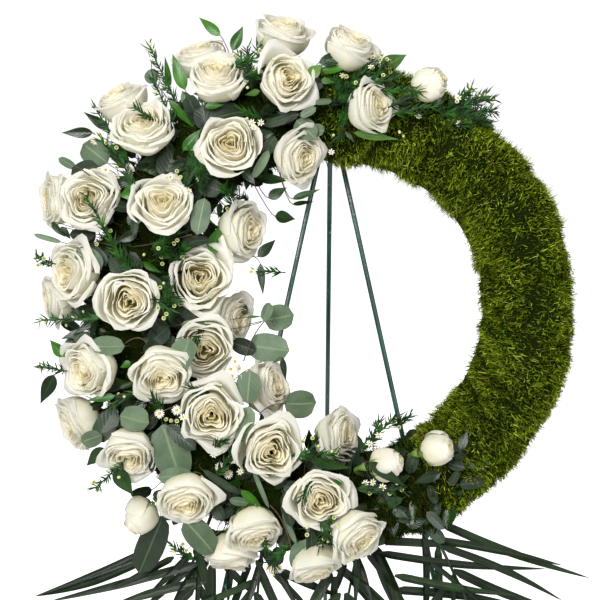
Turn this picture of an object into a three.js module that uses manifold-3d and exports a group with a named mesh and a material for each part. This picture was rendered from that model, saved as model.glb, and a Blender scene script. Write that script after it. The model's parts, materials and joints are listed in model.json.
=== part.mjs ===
// A standing funeral wreath: a moss-covered ring of floral foam, dressed with white roses,
// foliage and palm fronds, hung on a folding easel of enamelled wire.
// Millimetres. +X is the viewer's right, +Y points away from the viewer, +Z is up.

import * as THREE from 'three';
import { mergeVertices } from 'three/addons/utils/BufferGeometryUtils.js';
import Module from 'manifold-3d';

const wasm = await Module();
wasm.setup();

// ---------------------------------------------------------------- driving dimensions

const GAP = 0.35; // between pieces that touch
const HOLE_PLAY = 0.45; // round a stem or wire pushed through another piece

const LEAN = 10; // degrees that the easel's front legs lean back
const RING_CENTRE_HEIGHT = 1135; // from the floor to the ring's centre, along the front legs
const RING_RADIUS = 250; // centre line of the ring
const RING_STEPS = 40; // facets round the ring
const FOAM_HALF_WIDTH = 38;
const FOAM_BACK = -28; // behind the ring's middle plane
// The foam's rounded front, from its outer side to its middle: off the centre line, and forward.
const FOAM_CROWN = [[FOAM_HALF_WIDTH, 8], [26, 24], [10, 30]];
const TRAY_WALL = 2.4;
const TRAY_RIM = -14; // front edge of the tray's low walls
const MOSS_FRONT = 51;
const MOSS_HALF_WIDTH = 53;
const MOSS_SHEETS = 4;
const MOSS_LUMP = 3.2; // height of the moss's lumps
const LUMPS_ROUND = 25;
const LUMP_SKEW = 1.9; // radians that the lumps shift from one line of the outline to the next
const MOSS_OUTLINE_STEPS = 10;
const MOSS_SQUARENESS = 0.72; // below 1, the section is fuller than an ellipse

const ROD_RADIUS = 3.175; // 1/4 in wire
const HOOK_RADIUS = 2;
const LOOP_RADIUS = 1.2;
const LEG_SPLAY = 0.22; // sideways run of a front leg for each millimetre down
const LEG_APEX = 258; // where the legs' centre lines would meet, above the ring's centre
const LEG_TOP = 238;
const LEG_DEPTH = 47; // the front legs' centre plane, behind the ring's
const HINGE_HEIGHT = 205;
const BACK_LEG_OPEN = 28; // degrees between the back leg and the front legs' plane
const EYE_PLAY = 0.6;
const EYE_WALL = 4.6;
const EYE_WIDTH = 8;
const STOP_HEIGHT = 222; // the stop that the back leg's tail bears on
const STOP_RADIUS = 2.4;
const STOP_HALF = 13;
const TAIL_LENGTH = 30;
const CROSSBAR_BLANK = 28; // lengths before the ends are cut to their neighbours
const FOOT_EXCESS = 40;
const BACK_LEG_BLANK = 1600;
const SLAB = 3000;
const ROD_SIDES = 12;
const THIN_ROD_SIDES = 8;
const EYE_SIDES = 16;
const HOOK_DEPTH = 3.6; // the hook's shaft, in front of the legs' centre plane
const HOOK_FOOT = 218;
const HOOK_HEIGHT = 254;
const HOOK_TIP = 11;
const HOOK_TIP_DEPTH = 33.6;
const LOOP_HALF = 13;
const LOOP_INSIDE = 6; // where the loop's ends stop in the foam, behind the ring's plane
const LEDGE_DROP = 292; // the ledges' arms, below the ring's centre
const LEDGE_REACH = 6;
const LEDGE_BEND = 10; // from a corner to where its bend starts
const LOOP_BEND = 2.5;
const FROND_BEND = 6;
const BEND_STEPS = 3;
const WIRE_SIDES = 6;

const BLOOM_SIDES = 8;
const STEM_RADIUS = 2.6;
const STEM_SIDES = 5;
const STEM_STEPS = 2;
const STEM_INSET = 0.06; // how far a stem runs up into its calyx, in bloom widths
const STEM_AIM = 0.3; // share of a rose's offset from the centre line that its stem's foot keeps
const STEM_REACH = 24; // the most that a stem's foot is off the centre line
const STEM_FOOT_HEIGHT = 2;
const STEM_STRAIGHT = 0.4; // share of a stem that runs straight on from the calyx
const LEAF_THICKNESS = 1.2;
const PETIOLE_HALF = 1.3;
const SPRIG_RADIUS = 2;
const SPRIG_STEPS = 6;
const FROND_RADIUS = 2.6;
const FROND_ROOT = 18; // the rachis's foot, outside the ring's centre line
const FROND_RIM = 62; // where it leaves the ring

// Cut roses, by where the bloom is: degrees round the ring from the right, distance from the
// ring's centre, and height in front of its plane; then how far it leans off the plane's normal,
// towards which direction, the bloom's width, and how far round the ring its stem is aimed.
const ROSES = [
  [100, 345, 25, 60, 75, 70, 0],
  [117, 311, 69, 40, 88, 70, 0],
  [118, 352, 22, 65, 105, 63, 5],
  [102, 277, 88, 25, 5, 67, 0],
  [86, 317, 60, 60, 62, 66, 0],
  [79, 242, 90, 45, 5, 65, 0],
  [123, 227, 90, 10, 80, 70, 0],
  [103, 186, 62, 45, -20, 66, 0],
  [137, 315, 68, 35, 92, 73, 0],
  [136, 366, 22, 65, 115, 66, 4],
  [150, 236, 91, 25, 88, 72, 0],
  [157, 324, 60, 15, 130, 71, 0],
  [159, 370, 18, 65, 180, 64, 5],
  [140, 144, 40, 55, -5, 70, 0],
  [169, 166, 55, 10, 60, 76, 0],
  [173, 318, 64, 40, 180, 71, 0],
  [179, 345, 16, 70, 190, 62, 4],
  [179, 244, 93, 8, -90, 72, 0],
  [-173, 125, 8, 55, -10, 62, 0],
  [-161, 165, 55, 10, -60, 72, 0],
  [-158, 222, 87, 35, -80, 70, 2],
  [-165, 305, 73, 40, 200, 70, 0],
  [-155, 349, 25, 65, 205, 70, 0],
  [-128, 131, 35, 60, 15, 68, 0],
  [-138, 198, 80, 12, -60, 75, 0],
  [-144, 304, 74, 45, -95, 66, 0],
  [-113, 192, 75, 15, -20, 75, 0],
  [-127, 293, 81, 40, -85, 70, 0],
  [-109, 288, 80, 55, -70, 68, 0],
  [-112, 334, 36, 75, -90, 66, 4],
  [-94, 234, 91, 12, -45, 72, 0],
  [-87, 163, 35, 55, 5, 66, 0],
  [-84, 280, 84, 50, -40, 67, 0],
  [-94, 321, 52, 65, -75, 65, 3],
];
const ROSE_BUDS = [
  [66, 293, 81, 50, 20, 52, 0],
  [-132, 358, 22, 70, 225, 54, -4],
  [-71, 204, 80, 75, 10, 50, 0],
  [-54, 216, 85, 60, 15, 50, 0],
];

// Half-profiles from the foot of the calyx to the middle of the top, in bloom widths.
const ROSE_PROFILE = [
  [0, -0.46], [0.07, -0.45], [0.12, -0.36], [0.39, -0.22], [0.52, -0.02],
  [0.51, 0.12], [0.38, 0.24], [0.16, 0.26], [0, 0.22],
];
const BUD_PROFILE = [
  [0, -0.6], [0.1, -0.59], [0.15, -0.48], [0.42, -0.3], [0.52, -0.05],
  [0.47, 0.18], [0.35, 0.38], [0.14, 0.42], [0, 0.38],
];

// Sprigs of foliage: where the stem enters the foam (degrees, radius, height), where it bends and
// ends in front of the ring (right, up, forward), and its leaves: place along the stem, direction
// in the ring's plane, tilt off that plane, petiole, length and width.
const SPRIGS = [
  {
    name: 'eucalyptus_sprig_left',
    colour: 0x6f8a78,
    root: [150, 262, 4],
    bend: [-290, 175, 70],
    end: [-345, 190, 46],
    leaves: [
      [0.55, 60, 30, 8, 46, 38], [0.7, 215, 10, 10, 44, 36],
      [0.9, 120, 10, 8, 40, 32], [1, 180, -8, 4, 46, 22],
    ],
  },
  {
    name: 'eucalyptus_sprig_inner',
    colour: 0x7c9785,
    root: [-168, 240, 10],
    bend: [-150, -8, 62],
    end: [-92, -6, 44],
    leaves: [
      [0.75, 225, -15, 8, 52, 34], [0.9, 60, 10, 8, 34, 30], [1, -20, -8, 4, 36, 34],
    ],
  },
  {
    name: 'eucalyptus_sprig_bottom',
    colour: 0x4f6758,
    root: [-128, 262, 2],
    bend: [-205, -262, 50],
    end: [-222, -285, 40],
    leaves: [
      [0.7, -20, 20, 8, 50, 42], [0.85, 200, 0, 6, 40, 26], [1, -112, -4, 4, 84, 40],
    ],
  },
  {
    name: 'ruscus_sprig_right',
    colour: 0x27452a,
    root: [-60, 252, 6],
    bend: [125, -205, 78],
    end: [176, -176, 66],
    leaves: [
      [0.45, 170, 4, 6, 44, 20], [0.6, 250, 2, 8, 50, 20], [0.8, -35, 4, 6, 46, 20],
      [1, 55, 4, 4, 44, 20], [1, -8, 4, 6, 40, 18],
    ],
  },
];

// Palm fronds: degrees round the ring, height of the frond's plane, the rachis's direction, how
// far that turns by the tip, the rachis's length, and the leaflets' spread to each side.
const FRONDS = [
  ['palm_frond_right', -64, -9, -48, -16, 190, 30],
  ['palm_frond_centre_right', -83, 1, -72, -8, 200, 42],
  ['palm_frond_centre_left', -104, 11, -108, 8, 200, 42],
  ['palm_frond_left', -122, 21, -138, 16, 180, 28],
];
const LEAFLET_PAIRS = 6;
const LEAFLET_START = 0.6; // the first pair's place on the rachis, in spaces between pairs
const LEAFLET_LENGTH = 190;
const LEAFLET_WIDTH = 16;
const LEAFLET_SHORTENING = 0.3; // share of the length lost by the rachis's tip
const LEAFLET_CLOSING = 0.35; // share of the spread lost by there

// Half-outlines of the blades: [share of the length, share of the half width].
const LEAF_BLADE = [[0.25, 0.81], [0.5, 0.98], [0.78, 0.58]];
const LEAFLET_BLADE = [[0.16, 1], [0.62, 0.92]];

const SAME_POINT = 1e-4; // corners closer than this are one

const COLOURS = {
  enamel: 0x1e4a42, zinc: 0x8a8f8c, foam: 0x2f5a34, tray: 0x1d3a26, moss: 0x6b8a1c,
  petal: 0xf1ede0, palm: 0x26402a,
};

// ---------------------------------------------------------------- shared steps

const radians = THREE.MathUtils.degToRad;

/** A point of the ring's own frame: right, up the leaning plane, and forward to the viewer. */
const place = (right, up, forward) => new THREE.Vector3(right, -forward, up);

/** The same, by degrees round the ring and distance from its centre. */
function onRing(angle, radius, forward) {
  return place(radius * Math.cos(radians(angle)), radius * Math.sin(radians(angle)), forward);
}

/** Unit vector leaning off the ring's normal towards a direction in its plane. */
function facing(lean, direction) {
  const across = Math.sin(radians(lean));
  const right = across * Math.cos(radians(direction));
  const up = across * Math.sin(radians(direction));
  return place(right, up, Math.cos(radians(lean)));
}

/** The closed geometry as a solid that can be joined and cut. */
function solid(geometry) {
  const bare = new THREE.BufferGeometry();
  bare.setAttribute('position', geometry.getAttribute('position').clone());
  if (geometry.index) bare.setIndex(geometry.index.clone());
  const merged = mergeVertices(bare, SAME_POINT);
  const kept = [];
  const index = merged.index.array;
  for (let i = 0; i < index.length; i += 3) {
    const [a, b, c] = [index[i], index[i + 1], index[i + 2]];
    if (a !== b && b !== c && c !== a) kept.push(a, b, c);
  }
  return new wasm.Manifold(new wasm.Mesh({
    numProp: 3,
    vertProperties: new Float32Array(merged.getAttribute('position').array),
    triVerts: new Uint32Array(kept),
  }));
}

/** The solid's surface as a geometry, with its corners in the order that manifold gives them. */
function geometryOf(body) {
  const mesh = body.getMesh();
  const points = Float32Array.from(mesh.vertProperties);
  const geometry = new THREE.BufferGeometry();
  geometry.setAttribute('position', new THREE.BufferAttribute(points, 3));
  geometry.setIndex(Array.from(mesh.triVerts));
  geometry.computeVertexNormals();
  return geometry;
}

/** The largest of the separate bodies that cutting has left. */
function largest(body) {
  return body.decompose().reduce((best, piece) => (piece.volume() > best.volume() ? piece : best));
}

/** A round bar along a curve, with flat ends. */
function bar(curve, radius, sides, steps) {
  const section = new THREE.Shape();
  for (let i = 0; i < sides; i += 1) {
    const turn = (2 * Math.PI * i) / sides;
    const [x, y] = [radius * Math.cos(turn), radius * Math.sin(turn)];
    if (i === 0) section.moveTo(x, y);
    else section.lineTo(x, y);
  }
  return new THREE.ExtrudeGeometry(section, { steps, extrudePath: curve, bevelEnabled: false });
}

/** A wire's centre line with its corners bent round, taken point by point. */
class BentWire extends THREE.Curve {
  constructor(corners, bend) {
    super();
    this.points = [corners[0]];
    for (let i = 1; i < corners.length - 1; i += 1) {
      const towards = (other) => other.clone().sub(corners[i]).setLength(bend).add(corners[i]);
      const [start, end] = [towards(corners[i - 1]), towards(corners[i + 1])];
      const arc = new THREE.QuadraticBezierCurve3(start, corners[i], end);
      this.points.push(...arc.getPoints(BEND_STEPS));
    }
    this.points.push(corners.at(-1));
  }

  get steps() {
    return this.points.length - 1;
  }

  getPointAt(t) {
    return this.points[Math.round(t * this.steps)].clone();
  }

  getTangentAt(t) {
    const i = Math.round(t * this.steps);
    const before = this.points[Math.max(i - 1, 0)];
    const after = this.points[Math.min(i + 1, this.steps)];
    return after.clone().sub(before).normalize();
  }
}

function bentBar(corners, bend, radius, sides) {
  const wire = new BentWire(corners, bend);
  return solid(bar(wire, radius, sides, wire.steps));
}

function straightBar(from, to, radius, sides) {
  return solid(bar(new THREE.LineCurve3(from, to), radius, sides, 1));
}

/** The body with the room of every tool cut out of it. */
const pierced = (body, tools) => tools.reduce((left, tool) => left.subtract(tool), body);

const wreath = new THREE.Group();
wreath.rotation.x = -radians(LEAN);

/** Adds the piece to the leaning frame as a named mesh of its own. */
function addPiece(name, body, colour, roughness, metalness = 0) {
  const material = new THREE.MeshStandardMaterial({ color: colour, roughness, metalness });
  const mesh = new THREE.Mesh(geometryOf(body), material);
  mesh.name = name;
  wreath.add(mesh);
}

// ---------------------------------------------------------------- roses

/** A rose head and its stem as one solid; grown by `extra` it is the room that the rose needs. */
function rose(row, profile, extra) {
  const [angle, radius, height, lean, direction, bloom] = row;
  const centre = onRing(angle, radius, height);
  const face = facing(lean, direction);
  const width = bloom + 2 * extra;
  const outline = profile.map(([r, z]) => new THREE.Vector2(r * width, z * width));
  const head = new THREE.LatheGeometry(outline, BLOOM_SIDES);
  head.applyQuaternion(new THREE.Quaternion().setFromUnitVectors(new THREE.Vector3(0, 1, 0), face));
  head.translate(centre.x, centre.y, centre.z);
  return solid(head).add(roseStem(row, profile, extra));
}

/** The stem, from inside the calyx, straight at first and then turning into the foam. */
function roseStem([angle, radius, height, lean, direction, bloom, aim], profile, extra) {
  const face = facing(lean, direction);
  const inset = (profile[0][1] + STEM_INSET) * bloom;
  const calyx = onRing(angle, radius, height).addScaledVector(face, inset);
  const aimed = (radius - RING_RADIUS) * STEM_AIM;
  const offset = THREE.MathUtils.clamp(aimed, -STEM_REACH, STEM_REACH);
  const foot = onRing(angle + aim, RING_RADIUS + offset, STEM_FOOT_HEIGHT);
  const bend = calyx.clone().addScaledVector(face, -STEM_STRAIGHT * calyx.distanceTo(foot));
  const line = new THREE.QuadraticBezierCurve3(calyx, bend, foot);
  return solid(bar(line, STEM_RADIUS + extra, STEM_SIDES, STEM_STEPS));
}

const twoDigits = (number) => String(number).padStart(2, '0');
const blooms = [
  ...ROSES.map((row, i) => ({ name: `rose_${twoDigits(i + 1)}`, row, profile: ROSE_PROFILE })),
  ...ROSE_BUDS.map((row, i) => ({ name: `rose_bud_${i + 1}`, row, profile: BUD_PROFILE })),
];

const roseRoom = blooms.map(({ row, profile }) => rose(row, profile, HOLE_PLAY));

// ---------------------------------------------------------------- ring: foam, tray and moss

// The ring's sections are lists of [distance off the centre line, height].

/** A ring about the wreath's axis, from a closed section. */
function ringSolid(section) {
  const closed = [...section, section[0]].reverse();
  const outline = closed.map(([s, w]) => new THREE.Vector2(RING_RADIUS + s, -w));
  return solid(new THREE.LatheGeometry(outline, RING_STEPS));
}

/** The foam's rounded front from its outer to its inner side, or the same set off by a gap. */
function foamCrown(gap) {
  const outer = FOAM_CROWN.map(([s, w]) => [s + gap, w + gap]);
  return [...outer, ...outer.toReversed().map(([s, w]) => [-s, w])];
}

function foamRing() {
  const back = [[-FOAM_HALF_WIDTH, FOAM_BACK], [FOAM_HALF_WIDTH, FOAM_BACK]];
  return ringSolid([...back, ...foamCrown(0)]);
}

function foamTray() {
  const inside = FOAM_HALF_WIDTH + GAP;
  const outside = inside + TRAY_WALL;
  const bed = FOAM_BACK - GAP;
  const back = bed - TRAY_WALL;
  return ringSolid([
    [-outside, back], [outside, back], [outside, TRAY_RIM], [inside, TRAY_RIM],
    [inside, bed], [-inside, bed], [-inside, TRAY_RIM], [-outside, TRAY_RIM],
  ]);
}

const mossBack = FOAM_BACK - TRAY_WALL - GAP;

/** The moss's underside, close over the tray's walls and the foam. */
function mossInside() {
  const foam = FOAM_HALF_WIDTH + GAP;
  const tray = foam + TRAY_WALL + GAP;
  const rim = TRAY_RIM + GAP;
  const wall = [[tray, mossBack], [tray, rim], [foam, rim + GAP]];
  return [...wall, ...foamCrown(GAP), ...wall.toReversed().map(([s, w]) => [-s, w])];
}

/** The moss's smooth outside, from its inner back edge over the front to its outer one. */
function mossOutside() {
  const square = (value) => Math.sign(value) * Math.abs(value) ** MOSS_SQUARENESS;
  const outline = [];
  for (let k = 0; k <= MOSS_OUTLINE_STEPS; k += 1) {
    const turn = (Math.PI * k) / MOSS_OUTLINE_STEPS;
    const forward = square(Math.sin(turn)) * (MOSS_FRONT - mossBack);
    outline.push([-square(Math.cos(turn)) * MOSS_HALF_WIDTH, mossBack + forward]);
  }
  return outline;
}

/** The outside as it stands at one place round the ring, raised by the lumps there. */
function lumpy(outline, turn) {
  return outline.map(([s, w], k) => {
    const fade = Math.sin((Math.PI * k) / MOSS_OUTLINE_STEPS);
    const lump = MOSS_LUMP * fade * Math.sin(LUMPS_ROUND * turn + LUMP_SKEW * k);
    const scale = 1 + lump / Math.hypot(s, w - FOAM_BACK);
    return [s * scale, FOAM_BACK + (w - FOAM_BACK) * scale];
  });
}

/** One sheet of moss bent over the front of its share of the ring, open at the back. */
function mossSheet(number) {
  const stepsEach = RING_STEPS / MOSS_SHEETS;
  const [inner, outer] = [mossInside(), mossOutside()];
  const rings = [];
  for (let step = 0; step <= stepsEach; step += 1) {
    const turn = (2 * Math.PI * (number * stepsEach + step)) / RING_STEPS;
    const end = step === 0 ? 1 : step === stepsEach ? -1 : 0;
    const angle = turn + (end * GAP) / 2 / RING_RADIUS;
    rings.push([...inner, ...lumpy(outer, turn)].map(([s, w]) => {
      const radius = RING_RADIUS + s;
      return new THREE.Vector3(radius * Math.cos(angle), -w, radius * Math.sin(angle));
    }));
  }
  return solid(loft(rings, [...inner, ...outer].map(([s, w]) => new THREE.Vector2(s, w))));
}

/** Joins like outlines into a closed skin, with the flat section as both its ends. */
function loft(rings, section) {
  const count = section.length;
  const points = rings.flat().flatMap((point) => point.toArray());
  const index = [];
  for (let i = 0; i < rings.length - 1; i += 1) {
    for (let k = 0; k < count; k += 1) {
      const [a, b] = [i * count + k, i * count + ((k + 1) % count)];
      index.push(a, b, b + count, a, b + count, a + count);
    }
  }
  const last = (rings.length - 1) * count;
  const mirrored = THREE.ShapeUtils.isClockWise(section);
  for (const [a, b, c] of THREE.ShapeUtils.triangulateShape(section, [])) {
    if (mirrored) index.push(a, b, c, last + c, last + b, last + a);
    else index.push(c, b, a, last + a, last + b, last + c);
  }
  const geometry = new THREE.BufferGeometry();
  geometry.setAttribute('position', new THREE.Float32BufferAttribute(points, 3));
  geometry.setIndex(index);
  return geometry;
}

// ---------------------------------------------------------------- foliage

/** A blade's outline along x: a petiole, the half-outline, its tip and the other half. */
function bladeOutline(petiole, length, width, blade) {
  const points = blade.map(([part, share]) => [petiole + part * length, (share * width) / 2]);
  const half = [[0, PETIOLE_HALF], ...(petiole ? [[petiole, PETIOLE_HALF]] : []), ...points];
  return [...half, [petiole + length, 0], ...half.toReversed().map(([x, y]) => [x, -y])];
}

/** An outline cut from leaf-thick sheet, its x axis along a direction, facing the viewer. */
function plate(from, along, outline) {
  const shape = new THREE.Shape(outline.map(([x, y]) => new THREE.Vector2(x, y)));
  const sheet = { depth: LEAF_THICKNESS, steps: 1, bevelEnabled: false };
  const geometry = new THREE.ExtrudeGeometry(shape, sheet);
  geometry.translate(0, 0, -LEAF_THICKNESS / 2);
  const across = new THREE.Vector3().crossVectors(place(0, 0, 1), along).normalize();
  const normal = new THREE.Vector3().crossVectors(along, across);
  geometry.applyMatrix4(new THREE.Matrix4().makeBasis(along, across, normal).setPosition(from));
  return solid(geometry);
}

/** A sprig's stem, from inside the foam to its tip. */
function sprigStem({ root, bend, end }, extra) {
  const line = new THREE.QuadraticBezierCurve3(onRing(...root), place(...bend), place(...end));
  return { line, body: solid(bar(line, SPRIG_RADIUS + extra, STEM_SIDES, SPRIG_STEPS)) };
}

function sprig(row) {
  const stem = sprigStem(row, 0);
  let body = stem.body;
  for (const [part, direction, tilt, petiole, length, width] of row.leaves) {
    const along = facing(90 - tilt, direction);
    const outline = bladeOutline(petiole, length, width, LEAF_BLADE);
    body = body.add(plate(stem.line.getPoint(part), along, outline));
  }
  return largest(pierced(body, roseRoom));
}

/** The line of a frond's rachis, hanging from the ring's lower edge in a plane of its own. */
function rachis([, angle, height, heading, turn, length]) {
  const root = onRing(angle, RING_RADIUS + FROND_ROOT, height);
  const rim = onRing(angle, RING_RADIUS + FROND_RIM, height);
  const middle = facing(90, heading).multiplyScalar(length / 2).add(rim);
  const tip = facing(90, heading + turn).multiplyScalar(length / 2).add(middle);
  return { root, rim, line: new THREE.QuadraticBezierCurve3(rim, middle, tip) };
}

function frondStem(row, extra) {
  const { root, rim, line } = rachis(row);
  const points = [root, rim, line.getPoint(0.5), line.getPoint(1)];
  return bentBar(points, FROND_BEND, FROND_RADIUS + extra, STEM_SIDES);
}

function frond(row) {
  const [, , , heading, turn, , spread] = row;
  const { line } = rachis(row);
  let body = frondStem(row, 0);
  for (let pair = 0; pair < LEAFLET_PAIRS; pair += 1) {
    const part = (pair + LEAFLET_START) / LEAFLET_PAIRS;
    const length = LEAFLET_LENGTH * (1 - LEAFLET_SHORTENING * part);
    const outline = bladeOutline(0, length, LEAFLET_WIDTH, LEAFLET_BLADE);
    for (const side of [1, -1]) {
      const swing = side * spread * (1 - LEAFLET_CLOSING * part);
      const along = facing(90, heading + turn * part + swing);
      body = body.add(plate(line.getPoint(part), along, outline));
    }
  }
  return largest(pierced(body, roseRoom));
}

// ---------------------------------------------------------------- easel, in the leaning frame

const legAt = (side, up) => place(side * LEG_SPLAY * (LEG_APEX - up), up, -LEG_DEPTH);

/** A block as big as all that is under the floor, whose level the front legs' length sets. */
function floorBlock() {
  const foot = legAt(1, -RING_CENTRE_HEIGHT).applyEuler(wreath.rotation);
  const slab = new THREE.BoxGeometry(SLAB, SLAB, SLAB);
  slab.translate(0, 0, foot.z - SLAB / 2);
  slab.rotateX(-wreath.rotation.x);
  return solid(slab);
}

const underFloor = floorBlock();

/** A front leg, drawn past the floor and cut level with it. */
function frontLeg(side, extra) {
  const end = legAt(side, -RING_CENTRE_HEIGHT - FOOT_EXCESS);
  const blank = straightBar(legAt(side, LEG_TOP), end, ROD_RADIUS + extra, ROD_SIDES);
  return blank.subtract(underFloor);
}

/** Both ends of a bar through the hinge, by half its length. */
const alongHinge = (half) => [-half, half].map((right) => place(right, HINGE_HEIGHT, -LEG_DEPTH));

/** The short bar between the front legs, its ends coped to them, that the back leg hangs on. */
function topCrossbar() {
  const blank = straightBar(...alongHinge(CROSSBAR_BLANK / 2), ROD_RADIUS, ROD_SIDES);
  return largest(blank.subtract(frontLeg(-1, GAP)).subtract(frontLeg(1, GAP)));
}

const stopDepth = ROD_RADIUS + GAP + STOP_RADIUS;

/** The bar welded behind the front legs, which the back leg's tail bears on when it is open. */
function stopBar() {
  const end = (side) => place(side * STOP_HALF, STOP_HEIGHT, -LEG_DEPTH - stopDepth);
  return straightBar(end(-1), end(1), STOP_RADIUS, THIN_ROD_SIDES);
}

/** The back leg: an eye round the crossbar, a tail above it and the long leg below. */
function backLeg() {
  const hinge = place(0, HINGE_HEIGHT, -LEG_DEPTH);
  const rise = STOP_HEIGHT - HINGE_HEIGHT;
  const clearance = STOP_RADIUS + GAP + ROD_RADIUS;
  const toStop = Math.atan2(stopDepth, rise);
  const back = toStop + Math.asin(clearance / Math.hypot(stopDepth, rise));
  const tip = place(0, Math.cos(back), -Math.sin(back)).multiplyScalar(TAIL_LENGTH).add(hinge);
  const open = radians(BACK_LEG_OPEN);
  const foot = place(0, -Math.cos(open), -Math.sin(open)).multiplyScalar(BACK_LEG_BLANK).add(hinge);
  const bore = ROD_RADIUS + EYE_PLAY;
  const eye = straightBar(...alongHinge(EYE_WIDTH / 2), bore + EYE_WALL, EYE_SIDES);
  const hole = straightBar(...alongHinge(EYE_WIDTH), bore, EYE_SIDES);
  const leg = straightBar(hinge, foot, ROD_RADIUS, ROD_SIDES).subtract(underFloor);
  const tail = straightBar(hinge, tip, ROD_RADIUS, ROD_SIDES);
  return eye.add(leg).add(tail).subtract(hole);
}

/** The hook at the legs' top: up, forward under the wreath's wire loop, and up in front of it. */
function hangingHook() {
  const shaft = HOOK_DEPTH - LEG_DEPTH;
  return bentBar([
    place(0, HOOK_FOOT, shaft), place(0, HOOK_HEIGHT, shaft),
    place(0, HOOK_HEIGHT, -HOOK_TIP_DEPTH), place(0, HOOK_HEIGHT + HOOK_TIP, -HOOK_TIP_DEPTH),
  ], 2 * HOOK_RADIUS, HOOK_RADIUS, WIRE_SIDES);
}

/** One rod across the front of the legs, its ends turned forward under the ring as two ledges. */
function ledgeBar() {
  const depth = LEG_DEPTH - 2 * ROD_RADIUS - GAP;
  const side = LEG_SPLAY * (LEG_APEX + LEDGE_DROP);
  return bentBar([
    place(-side, -LEDGE_DROP, LEDGE_REACH), place(-side, -LEDGE_DROP, -depth),
    place(side, -LEDGE_DROP, -depth), place(side, -LEDGE_DROP, LEDGE_REACH),
  ], LEDGE_BEND, ROD_RADIUS, THIN_ROD_SIDES);
}

/** The wire loop that hangs the wreath on the hook, its ends pushed through the tray. */
function hangingLoop(extra) {
  const depth = HOOK_TIP_DEPTH + HOOK_RADIUS + GAP + LOOP_RADIUS;
  const height = HOOK_HEIGHT + HOOK_RADIUS + GAP + LOOP_RADIUS;
  return bentBar([
    place(-LOOP_HALF, height, -LOOP_INSIDE), place(-LOOP_HALF, height, -depth),
    place(LOOP_HALF, height, -depth), place(LOOP_HALF, height, -LOOP_INSIDE),
  ], LOOP_BEND, LOOP_RADIUS + extra, WIRE_SIDES);
}

// ---------------------------------------------------------------- assembly

const easel = {
  front_leg_left: frontLeg(-1, 0),
  front_leg_right: frontLeg(1, 0),
  top_crossbar: topCrossbar(),
  stop_bar: stopBar(),
  hanging_hook: hangingHook(),
  ledge_bar: ledgeBar(),
  back_leg: backLeg(),
};
for (const [name, body] of Object.entries(easel)) addPiece(name, body, COLOURS.enamel, 0.3);

const loopHoles = hangingLoop(HOLE_PLAY);
const stemHoles = [
  ...blooms.map(({ row, profile }) => roseStem(row, profile, HOLE_PLAY)),
  ...SPRIGS.map((row) => sprigStem(row, HOLE_PLAY).body),
  ...FRONDS.map((row) => frondStem(row, HOLE_PLAY)),
];
addPiece('hanging_loop', hangingLoop(0), COLOURS.zinc, 0.35, 1);
addPiece('foam_ring', pierced(foamRing(), [...stemHoles, loopHoles]), COLOURS.foam, 0.95);
addPiece('foam_tray', foamTray().subtract(loopHoles), COLOURS.tray, 0.5);
for (let number = 0; number < MOSS_SHEETS; number += 1) {
  const sheet = largest(pierced(mossSheet(number), stemHoles));
  addPiece(`moss_sheet_${number + 1}`, sheet, COLOURS.moss, 1);
}

// Each rose gives way to the ones before it where their petals would meet.
blooms.forEach(({ name, row, profile }, i) => {
  const body = largest(pierced(rose(row, profile, 0), roseRoom.slice(0, i)));
  addPiece(name, body, COLOURS.petal, 0.6);
});
for (const row of SPRIGS) addPiece(row.name, sprig(row), row.colour, 0.65);
for (const row of FRONDS) addPiece(row[0], frond(row), COLOURS.palm, 0.55);

/** The whole object, standing on z = 0 with its box centred on the origin. */
const standing = new THREE.Group();
standing.add(wreath);
standing.updateMatrixWorld(true);
const box = new THREE.Box3().setFromObject(standing, true);
wreath.position.set(-(box.min.x + box.max.x) / 2, -(box.min.y + box.max.y) / 2, -box.min.z);

export default standing;
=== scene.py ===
import json
import math

import bpy
import numpy as np
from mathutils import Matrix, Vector


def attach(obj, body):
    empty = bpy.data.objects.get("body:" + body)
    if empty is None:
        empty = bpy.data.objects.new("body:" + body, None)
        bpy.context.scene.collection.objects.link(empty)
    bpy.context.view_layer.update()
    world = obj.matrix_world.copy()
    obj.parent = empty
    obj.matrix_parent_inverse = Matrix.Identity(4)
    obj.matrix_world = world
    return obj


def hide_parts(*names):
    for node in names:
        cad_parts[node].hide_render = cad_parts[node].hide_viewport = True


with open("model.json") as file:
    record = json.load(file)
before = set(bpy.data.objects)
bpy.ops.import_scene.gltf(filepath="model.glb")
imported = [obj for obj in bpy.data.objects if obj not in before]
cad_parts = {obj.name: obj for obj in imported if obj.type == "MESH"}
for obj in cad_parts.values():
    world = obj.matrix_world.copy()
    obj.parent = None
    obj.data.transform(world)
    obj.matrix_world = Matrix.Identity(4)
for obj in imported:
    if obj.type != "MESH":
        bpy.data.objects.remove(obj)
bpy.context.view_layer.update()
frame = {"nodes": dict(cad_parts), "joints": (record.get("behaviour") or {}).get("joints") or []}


# --- Easel -------------------------------------------------------------------------------
# A folding three-legged florist's easel of 6.35 mm steel wire, cut, bent and spot welded, then
# dipped in dark green enamel. The back leg's eye turns on the short crossbar at the top.

EASEL = ("front_leg_left", "front_leg_right", "top_crossbar", "stop_bar", "hanging_hook",
         "ledge_bar", "back_leg")
MM = 0.001


def linear(code):
    """An sRGB hex colour as the linear colour that Blender's sockets take."""
    parts = [int(code[i:i + 2], 16) / 255 for i in (1, 3, 5)]
    return (*[c / 12.92 if c <= 0.04045 else ((c + 0.055) / 1.055) ** 2.4 for c in parts], 1.0)


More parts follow.
